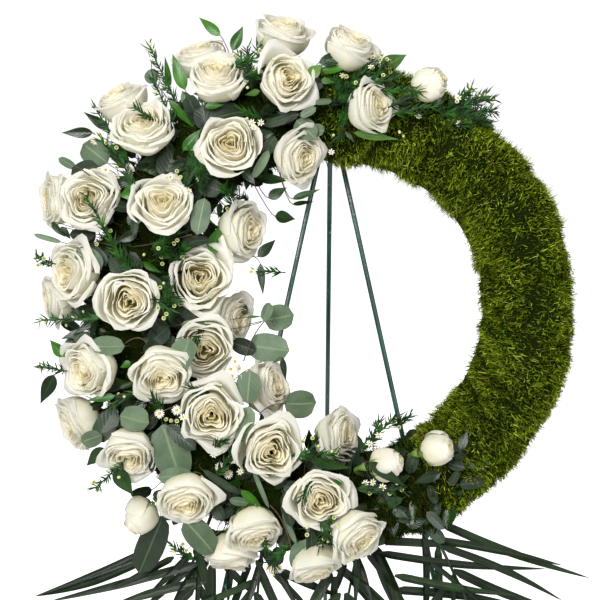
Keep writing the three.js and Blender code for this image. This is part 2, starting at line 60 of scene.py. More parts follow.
def add(tree, kind, inputs=(), stops=(), **settings):
    """A node with its settings and its links or values; a colour ramp has (place, hex) stops."""
    node = tree.nodes.new("ShaderNode" + kind)
    for key, value in settings.items():
        setattr(node, key, value)
    for socket, value in dict(inputs).items():
        if isinstance(value, bpy.types.NodeSocket):
            tree.links.new(value, node.inputs[socket])
        else:
            node.inputs[socket].default_value = value
    if stops:
        elements = node.color_ramp.elements
        while len(elements) < len(stops):
            elements.new(0.5)
        for element, (place, code) in zip(elements, stops):
            element.position = place
            element.color = linear(code)
    return node


def new_material(name, **surface):
    """A material with one Principled shader, its node tree and that shader."""
    material = bpy.data.materials.new(name)
    material.use_nodes = True
    tree = material.node_tree
    tree.nodes.clear()
    values = {key.replace("_", " "): value for key, value in surface.items()}
    shader = add(tree, "BsdfPrincipled", values)
    add(tree, "OutputMaterial", {"Surface": shader.outputs[0]})
    return material, tree, shader


def enamel():
    # Dipped enamel: a wet dark green skin, thin at the scratches, with pale chips.
    material, tree, shader = new_material("dark_green_enamel", Roughness=0.22, Coat_Weight=0.5,
                                          Coat_Roughness=0.12)
    place = add(tree, "TexCoord").outputs["Object"]
    stretched = add(tree, "Mapping", {"Vector": place, "Scale": (1, 1, 0.16)}).outputs[0]
    chips = add(tree, "TexNoise", {"Vector": stretched, "Scale": 1 / (3 * MM), "Detail": 5})
    shade = add(tree, "TexNoise", {"Vector": place, "Scale": 1 / (40 * MM), "Detail": 3})
    green = add(tree, "ValToRGB", {0: shade.outputs[0]},
                ((0.3, "#12332F"), (0.7, "#24574E"))).outputs[0]
    chip = add(tree, "ValToRGB", {0: chips.outputs[0]},
               ((0.68, "#000000"), (0.71, "#FFFFFF"))).outputs[0]
    colour = add(tree, "MixRGB", {0: chip, 1: green, 2: linear("#8FA69E")})
    bump = add(tree, "Bump", {"Height": shade.outputs[0], "Strength": 0.15, "Distance": 0.4 * MM})
    tree.links.new(colour.outputs[0], shader.inputs["Base Color"])
    tree.links.new(bump.outputs[0], shader.inputs["Normal"])
    return material


def finish_node(name, material):
    """Gives a CAD node's own mesh a material."""
    node = frame["nodes"][name]
    node.data.materials.clear()
    node.data.materials.append(material)


easel_enamel = enamel()
for name in EASEL:
    finish_node(name, easel_enamel)


# --- Foam ring, tray and wire loop ---------------------------------------------------------
# A 24 in ring of soaked floral foam in a shallow moulded polystyrene tray. A loop of galvanised
# wire goes through the tray at the top and hangs on the easel's hook.

def foam():
    # Phenolic floral foam, soaked: a fine open cell, matt and dark when wet.
    material, tree, shader = new_material("wet_floral_foam", Roughness=0.95)
    place = add(tree, "TexCoord").outputs["Object"]
    cells = add(tree, "TexVoronoi", {"Vector": place, "Scale": 1 / (1.5 * MM)})
    colour = add(tree, "ValToRGB", {0: cells.outputs[0]},
                 ((0.0, "#16301C"), (0.7, "#2F5A34"))).outputs[0]
    bump = add(tree, "Bump", {"Height": cells.outputs[0], "Strength": 0.4, "Distance": 0.5 * MM})
    tree.links.new(colour, shader.inputs["Base Color"])
    tree.links.new(bump.outputs[0], shader.inputs["Normal"])
    return material


def tray_plastic():
    # Thin vacuum-formed polystyrene: dull green, with the soft ripple of a thin sheet.
    material, tree, shader = new_material("green_polystyrene", Roughness=0.42, IOR=1.55)
    place = add(tree, "TexCoord").outputs["Object"]
    ripple = add(tree, "TexNoise", {"Vector": place, "Scale": 1 / (25 * MM), "Detail": 2})
    colour = add(tree, "ValToRGB", {0: ripple.outputs[0]},
                 ((0.3, "#16301F"), (0.7, "#1E3D28"))).outputs[0]
    bump = add(tree, "Bump", {"Height": ripple.outputs[0], "Strength": 0.3, "Distance": 1 * MM})
    tree.links.new(colour, shader.inputs["Base Color"])
    tree.links.new(bump.outputs[0], shader.inputs["Normal"])
    return material


def galvanised():
    # Zinc-coated florist's wire: dull grey metal with darker spangle.
    material, tree, shader = new_material("galvanised_wire", Metallic=1.0, Roughness=0.4)
    place = add(tree, "TexCoord").outputs["Object"]
    spangle = add(tree, "TexNoise", {"Vector": place, "Scale": 1 / (4 * MM), "Detail": 3})
    colour = add(tree, "ValToRGB", {0: spangle.outputs[0]},
                 ((0.3, "#7C8286"), (0.7, "#A9AEB0"))).outputs[0]
    tree.links.new(colour, shader.inputs["Base Color"])
    return material


finish_node("foam_ring", foam())
finish_node("foam_tray", tray_plastic())
finish_node("hanging_loop", galvanised())


# --- Moss ----------------------------------------------------------------------------------
# Sheets of dried and re-dyed sheet moss, laid over the foam and pinned. Each sheet is a mat of
# short curling strands in clumps, brightest at the tips; painted shade makes the roots, the mat
# under them and the valleys between the clumps nearly black.

LEAN = math.radians(10)  # the ring leans back with the easel's front legs
UP = Vector((0, math.sin(LEAN), math.cos(LEAN)))
FORWARD = Vector((0, -math.cos(LEAN), math.sin(LEAN)))
RIGHT = Vector((1, 0, 0))
HINGE_UP, HINGE_BACK = 205, 47  # the easel's hinge, from the ring's centre
hinge = Vector(frame["joints"][0]["pos_m"])
centre = hinge - UP * HINGE_UP * MM + FORWARD * HINGE_BACK * MM
AXES = np.array([RIGHT, UP, FORWARD]) * MM
RING_RADIUS = 250
MOSS_BACK = -30.7
MOSS_HALF_WIDTH, MOSS_FRONT = 53, 48  # the mat under the strands
MOSS_SAG = 10  # how far the mat hangs from the inner edge at the top
SAG_ANGLE, SAG_SPREAD = 1.45, 0.5  # where it hangs, in radians round the ring
CLUMP_RISE, CLUMP_SINK = 20, 10  # how far a clump stands out and a valley sinks in
SHADED = np.radians((96, 300))  # where the flowers shade the moss
SHADE = 0.4  # how bright the moss is there
MOSS_SQUARENESS = 0.72
STRAND_LENGTH, STRAND_HALF = (7, 16), (0.4, 0.8)
STRANDS = {"moss_sheet_1": 42000, "moss_sheet_2": 14000,
           "moss_sheet_3": 14000, "moss_sheet_4": 42000}


def to_world(points):
    """Points of the ring's own frame (right, up, forward, in mm) as places in the scene."""
    return np.asarray(centre) + np.asarray(points, float) @ AXES


def mesh_piece(name, points, faces, material, **attributes):
    """A mesh object from points in metres and faces of three or four corners."""
    mesh = bpy.data.meshes.new(name)
    sizes = np.concatenate([np.full(len(group), len(group[0]), np.int32) for group in faces])
    starts = np.concatenate([[0], np.cumsum(sizes)[:-1]]).astype(np.int32)
    corners = np.concatenate([np.asarray(group, np.int32).ravel() for group in faces])
    mesh.vertices.add(len(points))
    mesh.vertices.foreach_set("co", np.asarray(points, np.float32).ravel())
    mesh.loops.add(len(corners))
    mesh.loops.foreach_set("vertex_index", corners)
    mesh.polygons.add(len(sizes))
    mesh.polygons.foreach_set("loop_start", starts)
    for key, values in attributes.items():
        layer = mesh.attributes.new(key, "FLOAT", "POINT")
        layer.data.foreach_set("value", np.asarray(values, np.float32))
    mesh.update(calc_edges=True)
    mesh.polygons.foreach_set("use_smooth", np.full(len(sizes), True))
    mesh.materials.append(material)
    piece = bpy.data.objects.new(name, mesh)
    bpy.context.scene.collection.objects.link(piece)
    return piece


def grid_faces(wide, deep, start=0):
    """Quads of a grid of points, wide by deep."""
    i, k = np.meshgrid(np.arange(wide - 1), np.arange(deep - 1), indexing="ij")
    a = (start + i * deep + k).ravel()
    return np.stack([a, a + deep, a + deep + 1, a + 1], -1)


def clumps(angle, across):
    """The mat's soft clumps, from 0 in the narrow valleys between them to 1 on top."""
    warp = 0.5 * np.sin(2.7 * across + 7 * angle) + 0.4 * np.sin(17 * angle + 2)
    rows = np.abs(np.sin(10.5 * angle + 1.2 * np.sin(2.1 * across + 3 * angle) + warp))
    cross = np.abs(np.sin(1.9 * across + 1.3 * np.sin(8 * angle + 1) + 0.6))
    small = np.abs(np.sin(37 * angle + 4 * across)) * np.abs(np.sin(6.5 * across + 11 * angle))
    return 0.55 * (rows * cross) ** 0.45 + 0.25 * rows ** 0.6 + 0.2 * small


def moss_surface(angle, across, lift=0.0):
    """The mat's surface; across runs from 0 at the inner back edge to 1 at the outer."""
    turn = math.pi * across
    shape = lambda value: np.sign(value) * np.abs(value) ** MOSS_SQUARENESS
    side = -shape(np.cos(turn)) * MOSS_HALF_WIDTH
    front = shape(np.sin(turn)) * (MOSS_FRONT - MOSS_BACK)
    height = (CLUMP_RISE * clumps(angle, across * 3) - CLUMP_SINK) * np.sin(turn) ** 0.25
    stand = (height + lift) / np.hypot(side, front)
    side, front = side * (1 + stand), front * (1 + stand)
    inner = np.clip(-side / MOSS_HALF_WIDTH, 0, 1) ** 1.5
    hang = MOSS_SAG * np.exp(-((angle - SAG_ANGLE) / SAG_SPREAD) ** 2) * inner
    radius = RING_RADIUS + side - hang
    return np.stack([radius * np.cos(angle), radius * np.sin(angle), MOSS_BACK + front], -1)


def unit(vectors):
    """Vectors of length one along the last axis."""
    return vectors / np.maximum(np.linalg.norm(vectors, axis=-1, keepdims=True), 1e-9)


def moss_mat(first, last, steps=130, rows=44):
    """The mat of one sheet between two angles, as points and faces."""
    angle, across = np.meshgrid(np.linspace(first, last, steps), np.linspace(0, 1, rows),
                                indexing="ij")
    points = moss_surface(angle, across).reshape(-1, 3)
    return points, grid_faces(steps, rows)


def moss_strands(count, first, last, noise):
    """Curling strands rooted in the mat: two corners at the root, two halfway and one at the tip."""
    angle = noise.uniform(first, last, count)
    across = noise.uniform(0.02, 0.98, count)
    step = 1e-3
    root = moss_surface(angle, across, -1.0)
    along = unit(moss_surface(angle + step, across) - root)
    over = unit(moss_surface(angle, across + step) - moss_surface(angle, across))
    out = unit(np.cross(over, along))
    out *= np.sign((out * (root - ring_core(angle))).sum(-1, keepdims=True))
    comb = 2 * np.sin(9 * angle + 2) + 3 * np.sin(5 * across + 4 * angle)
    swirl = comb + noise.normal(0, 1.4, count)
    lie = along * np.cos(swirl)[:, None] + over * np.sin(swirl)[:, None]
    length = noise.uniform(*STRAND_LENGTH, count)[:, None]
    rise = noise.uniform(0.15, 0.9, count)[:, None]
    middle = root + (lie * 0.8 + out * rise) * length * 0.55
    turn = unit(np.cross(lie, out)) * noise.normal(0, 0.9, count)[:, None]
    tip = middle + (lie * (1.1 - rise) + turn + out * (rise - 0.25)) * length * 0.5
    face = unit(np.cross(lie + turn, out + noise.normal(0, 0.5, (count, 3))))
    half = noise.uniform(*STRAND_HALF, count)[:, None]
    points = np.stack([root - face * half, root + face * half, middle - face * half,
                       middle + face * half, tip], 1)
    start = np.arange(count)[:, None] * 5
    quads = start + np.array([0, 1, 3, 2])
    tips = start + np.array([2, 3, 4])
    # Each strand's tone is random, plus painted shade: darker in the valleys between the clumps.
    tone_and_painted_shade = noise.beta(1.3, 1.5, count) * 0.8 + 0.3 * clumps(angle, across * 3)
    # Painted shade: strands in the arc under the flowers are darkened to SHADE.
    tone_and_painted_shade *= np.where((angle > SHADED[0]) & (angle < SHADED[1]), SHADE, 1.0)
    # Painted shade along each strand: darkest at the root, brightest at the tip.
    height = np.stack([tone_and_painted_shade * 0.1, tone_and_painted_shade * 0.1, 0.8 * tone_and_painted_shade, 0.8 * tone_and_painted_shade, tone_and_painted_shade], 1)
    dry = np.repeat(noise.random(count) ** 3, 5)
    return points.reshape(-1, 3), quads, tips, height.ravel(), dry


def ring_core(angle):
    """The ring's centre line."""
    return RING_RADIUS * np.stack([np.cos(angle), np.sin(angle), np.zeros_like(angle)], -1)


def moss_fibre():
    # Dyed sheet moss: matt yellow-green fibres, darkened towards the root and on the mat by painted
    # shade, some of them dry and brown.
    material, tree, shader = new_material("sheet_moss", Roughness=0.95, Specular_IOR_Level=0.08)
    height = add(tree, "Attribute", attribute_name="height").outputs["Fac"]
    dry = add(tree, "Attribute", attribute_name="dry").outputs["Fac"]
    place = add(tree, "TexCoord").outputs["Object"]
    patches = add(tree, "TexNoise", {"Vector": place, "Scale": 1 / (45 * MM), "Detail": 3}).outputs[0]
    # The height attribute holds each strand's tone and painted shade, not a height; its dark end is
    # painted shade.
    fresh = add(tree, "ValToRGB", {0: height},
                ((0.0, "#050801"), (0.25, "#2E4204"), (0.55, "#7C9812"),
                 (0.85, "#C2D444"), (1.0, "#E8F09A"))).outputs[0]
    brown = add(tree, "ValToRGB", {0: height},
                ((0.0, "#0A0802"), (0.5, "#5E5010"), (1.0, "#C0B060"))).outputs[0]
    worn = add(tree, "Math", {0: dry, 1: patches}, operation="MULTIPLY").outputs[0]
    amount = add(tree, "MapRange", {0: worn, 1: 0.12, 2: 0.5}).outputs[0]
    colour = add(tree, "MixRGB", {0: amount, 1: fresh, 2: brown}).outputs[0]
    tree.links.new(colour, shader.inputs["Base Color"])
    return material


moss_material = moss_fibre()
for number, (name, count) in enumerate(STRANDS.items()):
    noise = np.random.default_rng(40 + number)
    first, last = math.radians(90 * number), math.radians(90 * (number + 1))
    mat, mat_faces = moss_mat(first, last)
    strands, quads, tips, height, dry = moss_strands(count, first, last, noise)
    base = len(mat)
    # The mat under the strands is painted near black as shade.
    heights = np.concatenate([np.full(base, 0.05), height])
    dries = np.concatenate([np.zeros(base), dry])
    points = to_world(np.concatenate([mat, strands]))
    sheet = mesh_piece("moss_" + name[-1], points, [mat_faces, quads + base, tips + base],
                       moss_material, height=heights, dry=dries)
    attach(sheet, "stand")
    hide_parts(name)


# --- Roses ---------------------------------------------------------------------------------
# Open white garden roses and a few half-open buds, each cut with its stem and pushed through the
# moss into the foam. The petals spiral out from a cream heart and roll back at their rims.

BLOOM_RING, BUD_RING = 0.16, 0.14  # radius of the ring of corners at the solid's top, in blooms
BLOOM_TOP, BUD_TOP = 0.22, 0.38  # height of the solid's top over the bloom's middle, in blooms
STEM_RADIUS_M = 2.6 * MM
GOLDEN = math.radians(137.5)
ACROSS, ALONG = 11, 10  # points of a petal's grid
BLOOM_PETALS, BUD_PETALS = 28, 18
SEPALS = 5
CALYX_HALF, CALYX_NECK = 0.12, 0.1  # the calyx's radius where it meets the bloom, in blooms


def flower_axis(node, ring_share, top_share):
    """The bloom's middle, facing direction and width, and the foot of its stem."""
    places = {}
    links = {}
    corners = [v.co for v in node.data.vertices]
    keys = [places.setdefault(tuple(round(c, 5) for c in co), i) for i, co in enumerate(corners)]
    for edge in node.data.edges:
        a, b = (keys[i] for i in edge.vertices)
        links.setdefault(a, set()).add(b)
        links.setdefault(b, set()).add(a)
    best = None
    for i, others in links.items():
        spans = [(corners[k] - corners[i]).length for k in others]
        spread = (max(spans) - min(spans)) / max(spans)
        if len(others) == 8 and min(spans) > 6 * MM and (best is None or spread < best[0]):
            best = (spread, i, others)
    _, top, others = best
    middle = sum((corners[k] for k in others), Vector()) / 8
    face = (middle - corners[top]).normalized()
    ring = sum((corners[k] - middle).length for k in others) / 8
    bloom = ring / ring_share
    heart = corners[top] - face * top_share * bloom
    far = max(corners, key=lambda co: (co - heart).length)
    near_foot = [co for co in corners if (co - far).length < 2.5 * STEM_RADIUS_M]
    return heart, face, bloom, sum(near_foot, Vector()) / len(near_foot)


def petal_grid(turn, layer, noise, closed, lobes):
    """One petal in bloom widths: across, along; layer runs from 0 at the heart to 1 outside."""
    u, v = np.meshgrid(np.linspace(-1, 1, ACROSS), np.linspace(0, 1, ALONG), indexing="ij")
    side = np.abs(u)
    run = v * (1 - (0.05 + 0.12 * layer) * side ** 3)
    size = noise.uniform(0.93, 1.07)
    belly = (0.06 + 0.41 * layer ** 0.75) * size
    loose = max(layer - 0.8, 0) * noise.uniform(0, 0.5) * (1 - closed)
    neck = (0.02 + (0.40 - 0.12 * closed) * layer ** 0.9) * size + loose
    crest = 0.21 + 0.05 * math.sin(math.pi * layer) - 0.05 * layer ** 2 + noise.normal(0, 0.012)
    crest += closed * (0.14 - 0.10 * layer)
    point = np.exp(-np.abs((u - noise.normal(0, 0.15)) / 0.3) ** 1.4)
    flare = (0.035 + 0.11 * layer ** 1.6) * noise.uniform(0.7, 1.25) * (1 - 0.75 * closed)
    flare = flare * (0.7 + 0.75 * point)
    drop = (0.24 * layer ** 1.7 + 0.5 * loose) * noise.uniform(0.4, 1.4) * (1 - 0.8 * closed)
    drop = drop * (0.35 + 1.0 * side ** 2)
    radii = (0.05, belly * 1.18, belly * 1.12, neck, neck + flare)
    heights = (-0.40, -0.37, 0.02, crest + 0.05, crest - drop)
    steps = [w * run ** k * (1 - run) ** (4 - k) for k, w in enumerate((1, 4, 6, 4, 1))]
    radius = sum(a * b for a, b in zip(radii, steps))
    level = sum(a * b for a, b in zip(heights, steps))
    radius += 0.016 * u * (0.4 + layer) * v
    wave = noise.uniform(0, 6.28, 3)
    swell = np.sin(2.8 * u + wave[0]) * 0.016 + np.sin(5.6 * u + wave[1]) * 0.008
    radius += swell * v ** 3 * (0.6 + layer)
    level += (np.sin(3.4 * u + wave[2]) * 0.014 + 0.02 * point * layer) * v ** 4
    half = math.radians(96 - 38 * layer ** 0.8) * noise.uniform(0.88, 1.12)
    spread = half * (0.3 + 0.7 * np.sin(np.minimum(v * 1.25, 1) * math.pi / 2))
    angle = turn + u * spread
    heart = 0.24 * (1 - layer) * np.sin(3 * angle + lobes[0])
    heart = heart + 0.10 * (1 - layer) * np.sin(5 * angle + lobes[1])
    radius = radius * (1 + heart * v + 0.045 * layer * np.cos(5 * angle + lobes[2]))
    points = np.stack([radius * np.cos(angle), radius * np.sin(angle), level], -1)
    points[..., 2] += noise.normal(0, 0.02 + 0.03 * layer) * radius
    return points.reshape(-1, 3), v.ravel()


def axes_along(face, spin=0.0):
    """Three unit rows, the last along the direction."""
    face = np.asarray(face, float) / np.linalg.norm(face)
    side = np.cross(face, (0.3, 0.2, 1.0) if abs(face[2]) < 0.9 else (1.0, 0, 0))
    side /= np.linalg.norm(side)
    up = np.cross(face, side)
    c, s = math.cos(spin), math.sin(spin)
    return np.stack([c * side + s * up, c * up - s * side, face])


def wrapped_faces(rings, sides):
    """Quads between rings of points, closed round each ring."""
    i, k = np.meshgrid(np.arange(rings - 1), np.arange(sides), indexing="ij")
    a, b = (i * sides + k).ravel(), (i * sides + (k + 1) % sides).ravel()
    return np.stack([a, b, b + sides, a + sides], -1)


def tube(line, radius, sides=7):
    """Points and quads of a tube along a line; the radius may be one value for each point."""
    line = np.asarray(line, float)
    along = unit(np.gradient(line, axis=0))
    first = unit(np.cross(along, (0.31, 0.87, 0.4)))
    second = np.cross(along, first)
    turn = np.linspace(0, 2 * math.pi, sides, endpoint=False)
    girth = np.broadcast_to(np.asarray(radius, float), len(line))[:, None, None]
    turn = turn[None, :, None]
    ring = first[:, None] * np.cos(turn) + second[:, None] * np.sin(turn)
    points = (line[:, None] + ring * girth).reshape(-1, 3)
    return points, wrapped_faces(len(line), sides)


def bezier(a, b, c, steps):
    """Points of a curve that leaves a towards b and comes into c from b."""
    t = np.linspace(0, 1, steps)[:, None]
    a, b, c = (np.asarray(p, float) for p in (a, b, c))
    return (1 - t) ** 2 * a + 2 * t * (1 - t) * b + t * t * c


def petal_skin():
    # White rose petals: ivory outside, warmer towards the heart, letting some light through.
    material, tree, shader = new_material("rose_petal", Roughness=0.5, Specular_IOR_Level=0.3)
    layer = add(tree, "Attribute", attribute_name="layer").outputs["Fac"]
    rise = add(tree, "Attribute", attribute_name="rise").outputs["Fac"]
    tone = add(tree, "ValToRGB", {0: layer},
               ((0.0, "#FDF7DC"), (0.3, "#FEFAEC"), (0.6, "#FDFCF5"), (1.0, "#FCFBF6"))).outputs[0]
    foot = add(tree, "ValToRGB", {0: rise}, ((0.15, "#F7F7E4"), (0.7, "#FFFFFF"))).outputs[0]
    place = add(tree, "TexCoord").outputs["Object"]
    veins = add(tree, "TexNoise", {"Vector": place, "Scale": 1 / (12 * MM), "Detail": 4}).outputs[0]
    mottle = add(tree, "ValToRGB", {0: veins}, ((0.3, "#FBF9F1"), (0.7, "#FFFFFF"))).outputs[0]
    base = add(tree, "MixRGB", {0: 1.0, 1: tone, 2: foot}, blend_type="MULTIPLY").outputs[0]
    colour = add(tree, "MixRGB", {0: 1.0, 1: base, 2: mottle}, blend_type="MULTIPLY").outputs[0]
    tree.links.new(colour, shader.inputs["Base Color"])
    return through(tree, shader, colour, 0.5, material)


def through(tree, shader, colour, share, material):
    """Lets a share of the light through a thin blade."""
    lit = add(tree, "BsdfTranslucent", {"Color": colour})
    mix = add(tree, "MixShader", {0: share, 1: shader.outputs[0], 2: lit.outputs[0]})
    output = next(node for node in tree.nodes if node.type == "OUTPUT_MATERIAL")
    tree.links.new(mix.outputs[0], output.inputs["Surface"])
    return material


def green_part():
    # Calyx, sepals and stem: fresh mid green, slightly waxy.
    material, tree, shader = new_material("rose_stem_green", Roughness=0.5)
    place = add(tree, "TexCoord").outputs["Object"]
    tone = add(tree, "TexNoise", {"Vector": place, "Scale": 1 / (18 * MM), "Detail": 3}).outputs[0]
    colour = add(tree, "ValToRGB", {0: tone}, ((0.3, "#3E5A24"), (0.7, "#7A9A48"))).outputs[0]
    tree.links.new(colour, shader.inputs["Base Color"])
    return material


def sepals(noise):
    """Five narrow sepals spread under the bloom, in bloom widths."""
    points, faces = [], []
    for number in range(SEPALS):
        u, v = np.meshgrid(np.linspace(-1, 1, 3), np.linspace(0, 1, 6), indexing="ij")
        half = 0.065 * (1 - v) ** 0.8
        reach = 0.05 + 0.34 * v
        level = -0.40 - 0.05 * np.sin(3 * v) + (0.16 + noise.uniform(-0.1, 0.1)) * v * v
        angle = number * 2 * math.pi / SEPALS + noise.normal(0, 0.1)
        flat = np.stack([reach, u * half, level - 0.02 * np.abs(u)], -1).reshape(-1, 3)
        c, s = math.cos(angle), math.sin(angle)
        turned = np.stack([flat[:, 0] * c - flat[:, 1] * s,
                           flat[:, 0] * s + flat[:, 1] * c, flat[:, 2]], -1)
        faces.append(grid_faces(3, 6, sum(map(len, points))))
        points.append(turned)
    return np.concatenate(points), np.concatenate(faces)


def build_rose(name, petals, closed, ring_share, top_share):
    """One rose with its calyx, sepals and stem, standing for the CAD node of that name."""
    heart, face, bloom, foot = flower_axis(frame["nodes"][name], ring_share, top_share)
    noise = np.random.default_rng(sum(name.encode()) * 7 + int(name[-1]))
    axes = axes_along(face, noise.uniform(0, 6.28)) * bloom
    points, faces, layers, rises = [], [], [], []
    spin = noise.choice((-1, 1))
    lobes = noise.uniform(0, 6.28, 3)
    for number in range(petals):
        layer = number / (petals - 1)
        turn = spin * number * GOLDEN + noise.normal(0, 0.25)
        grid, rise = petal_grid(turn, layer, noise, closed, lobes)
        faces.append(grid_faces(ACROSS, ALONG, len(grid) * number))
        points.append(grid)
        layers.append(np.full(len(grid), layer))
        rises.append(rise)
    blown = np.concatenate(points) @ axes + np.asarray(heart)
    flower = mesh_piece(name + "_petals", blown, [np.concatenate(faces)], petal_material,
                        layer=np.concatenate(layers), rise=np.concatenate(rises))
    leafy, leafy_faces = sepals(noise)
    leafy = leafy @ axes + np.asarray(heart)
    calyx = heart - face * (0.6 if closed else 0.46) * bloom
    bend = calyx - face * 0.4 * (calyx - foot).length
    line = np.concatenate([[np.asarray(calyx + face * 0.08 * bloom)], bezier(calyx, bend, foot, 9)])
    girths = np.concatenate([[CALYX_HALF * bloom, CALYX_NECK * bloom],
                             np.full(len(line) - 2, STEM_RADIUS_M)])
    stalk, stalk_faces = tube(line, girths)
    green = mesh_piece(name + "_stem", np.concatenate([leafy, stalk]),
                       [np.concatenate([leafy_faces, stalk_faces + len(leafy)])], green_material)
    for piece in (flower, green):
        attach(piece, "stand")
    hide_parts(name)


petal_material = petal_skin()
green_material = green_part()
for name in sorted(frame["nodes"]):
    if name.startswith("rose_bud"):
        build_rose(name, BUD_PETALS, 1.0, BUD_RING, BUD_TOP)
    elif name.startswith("rose_"):
        build_rose(name, BLOOM_PETALS, 0.0, BLOOM_RING, BLOOM_TOP)


# --- Leaves --------------------------------------------------------------------------------
# Cut sprigs pushed in between the roses: silver-dollar eucalyptus, Italian ruscus and a few rose
# leaves. Each leaf is a thin creased blade on its own petiole, which runs back into the foam.
# A row is the blade's foot (right, up, forward of the ring's centre), the direction it points in
# and how far it tips forward (degrees), then its length and width (mm).

EUCALYPTUS = (
    (-280, 177, 30, 140, 5, 40, 34), (-320, 171, 30, 150, 5, 24, 11),
    (-222, 281, 12, 120, 0, 19, 19), (-22, 244, 79, 10, 0, 22, 8), (-20, 238, 84, 210, 0, 22, 11),
    (-44, 225, 71, -45, 5, 33, 26), (-27, 214, 65, -8, 5, 18, 16), (-77, 186, 84, -120, 0, 39, 12),
    (-334, 77, 47, 165, 0, 37, 7), (-310, 67, 80, -40, 0, 39, 27), (-251, -51, 82, 183, 5, 41, 27),
    (-172, -41, 95, -110, 5, 40, 40), (-163, 83, 91, 80, 0, 46, 24), (-186, -25, 58, 8, 0, 47, 11),
    (-85, -20, 30, 70, 0, 24, 14), (-85, -20, -1, 12, 5, 38, 34), (-105, -51, 23, -8, 0, 53, 38),
    (-100, -80, 75, -95, 0, 41, 32), (-282, -160, 58, 200, 0, 27, 23),
    (-222, -144, 78, 170, 0, 36, 36), (-207, -146, 68, -72, 5, 71, 46),
    (-211, -210, 84, 10, 0, 43, 22), (-181, -262, 68, -45, 0, 56, 35),
    (-100, -124, 77, 250, 0, 46, 27), (-59, -123, 33, -5, 5, 39, 39),
    (-98, -198, 67, -68, 0, 56, 6), (-125, -237, 76, -10, 0, 24, 11),
    (-61, -253, 77, -65, 0, 41, 7), (-32, -287, 62, -95, 0, 43, 38),
)
# Eucalyptus leaves in a darker copy of the eucalyptus colours: painted shade.
DARK_EUCALYPTUS = (
    (-291, 173, 38, 200, 5, 35, 27), (-206, 155, 58, 70, -10, 40, 34),
    (-242, 167, 51, 30, 0, 42, 15), (-154, 215, 59, 100, 0, 31, 27), (-157, 223, 66, 20, 0, 51, 34),
    (-11, 272, 66, 200, 0, 21, 15), (-40, 232, 76, 200, 0, 46, 12), (-83, 181, 79, 60, 0, 27, 16),
    (-136, 139, 58, 160, 0, 31, 25), (-326, 87, 39, 0, 0, 32, 17), (-297, 71, 65, -50, 0, 32, 18),
    (-277, 33, 66, -95, 0, 42, 29), (-223, -47, 63, 40, 0, 29, 24), (-240, 83, 88, 85, 0, 29, 10),
    (-185, 75, 74, 5, 0, 36, 13), (-247, 64, 66, -60, 0, 27, 13), (-227, 37, 66, -40, 0, 39, 12),
    (-184, 10, 54, -60, 0, 34, 27), (-125, -47, 30, -20, 0, 32, 21),
    (-291, -170, 48, 60, 0, 47, 27), (-200, -146, 83, -40, 12, 46, 19),
    (-222, -166, 77, -80, 0, 39, 10), (-211, -264, 19, -112, 0, 80, 36),
    (-146, -242, 60, -60, 0, 25, 16), (-158, -201, 72, -35, 0, 58, 10),
    (-60, -227, 87, -75, 0, 43, 14), (-26, -274, 68, -87, 0, 46, 15),
)
RUSCUS = (
    (-280, 221, 15, 145, 0, 40, 14), (-298, 215, 30, 180, 0, 40, 15), (-17, 294, 75, 15, 0, 44, 17),
    (16, 209, 80, -50, 0, 18, 5), (-82, 227, 64, 10, 0, 27, 11), (-92, 204, 82, 10, 0, 21, 15),
    (-93, 157, 40, -5, 0, 42, 16), (-110, 164, 83, -50, 0, 27, 12), (-49, 130, 51, 20, 0, 37, 10),
    (-49, 127, 12, 8, 0, 28, 9), (-71, 111, 22, -5, 0, 26, 19), (-79, 133, 32, 30, 0, 27, 15),
    (-347, 102, 45, -50, 0, 25, 10), (-338, 97, 33, -50, 0, 20, 10),
    (-287, -15, 58, 217, 0, 39, 11), (-287, -16, 63, 250, 0, 34, 11),
    (-306, -32, 44, 200, 0, 32, 11), (-346, -87, 30, -115, 0, 41, 20), (-92, 59, 38, 45, 0, 32, 15),
    (-89, 52, 30, -85, 0, 41, 11), (-110, -13, 16, 80, 0, 16, 10), (-62, -65, 37, -80, 0, 31, 9),
    (-280, -177, 45, 225, 0, 33, 20), (-265, -200, 69, -55, 0, 40, 22),
    (-27, -188, 85, -12, 0, 51, 16), (2, -242, 87, -3, 0, 41, 12), (42, -189, 97, -33, 0, 55, 16),
    (172, -168, 50, 60, 0, 32, 14), (169, -192, 50, -10, 0, 27, 15),
    (132, -205, 69, 200, 0, 37, 15), (128, -233, 50, 175, 0, 37, 15),
    (125, -265, 48, 80, 0, 37, 16), (101, -257, 43, -60, 0, 27, 14),
    (130, -271, 12, -100, 0, 25, 13), (87, -238, 54, 200, 0, 44, 16),
    (132, 236, 50, -100, 0, 27, 12), (126, 254, 81, -80, 0, 22, 11),
    (159, -182, 66, 150, 0, 32, 15), (155, -177, 74, 70, 0, 27, 12),
    (94, -254, 31, -120, 0, 32, 14),
)
BRIGHT_RUSCUS = (
    (-203, 271, 30, 95, 10, 41, 10), (-181, 264, 57, 110, 10, 47, 18),
    (-186, 265, 43, -60, 0, 47, 17), (-201, 252, 58, -50, 0, 49, 11),
    (-183, 188, 62, 50, 10, 37, 15), (-231, 139, 85, 200, 5, 29, 23),
    (-139, 337, 30, 140, 0, 37, 14), (-124, 318, 30, 67, 0, 34, 16), (-13, 285, 68, 10, 5, 34, 13),
    (-14, 274, 71, -10, 0, 18, 9), (-156, 241, 73, 5, 0, 24, 10), (-328, -64, 61, 130, 0, 27, 16),
    (-148, 62, 53, 75, 0, 37, 22), (-230, 51, 83, -30, 0, 27, 10), (-244, -71, 78, 200, 0, 15, 10),
    (-107, -16, 30, 5, 0, 21, 4), (-263, -111, 80, 190, 0, 36, 11),
    (-111, -225, 78, -40, 0, 36, 12), (0, -213, 93, 10, 0, 19, 12),
)
ROSE_LEAVES = (
    (-29, 276, 83, 40, 5, 22, 17), (63, 301, -1, 30, 0, 39, 23), (26, 210, 66, -10, 5, 56, 12),
    (-88, 259, 80, 200, 0, 19, 10),
)
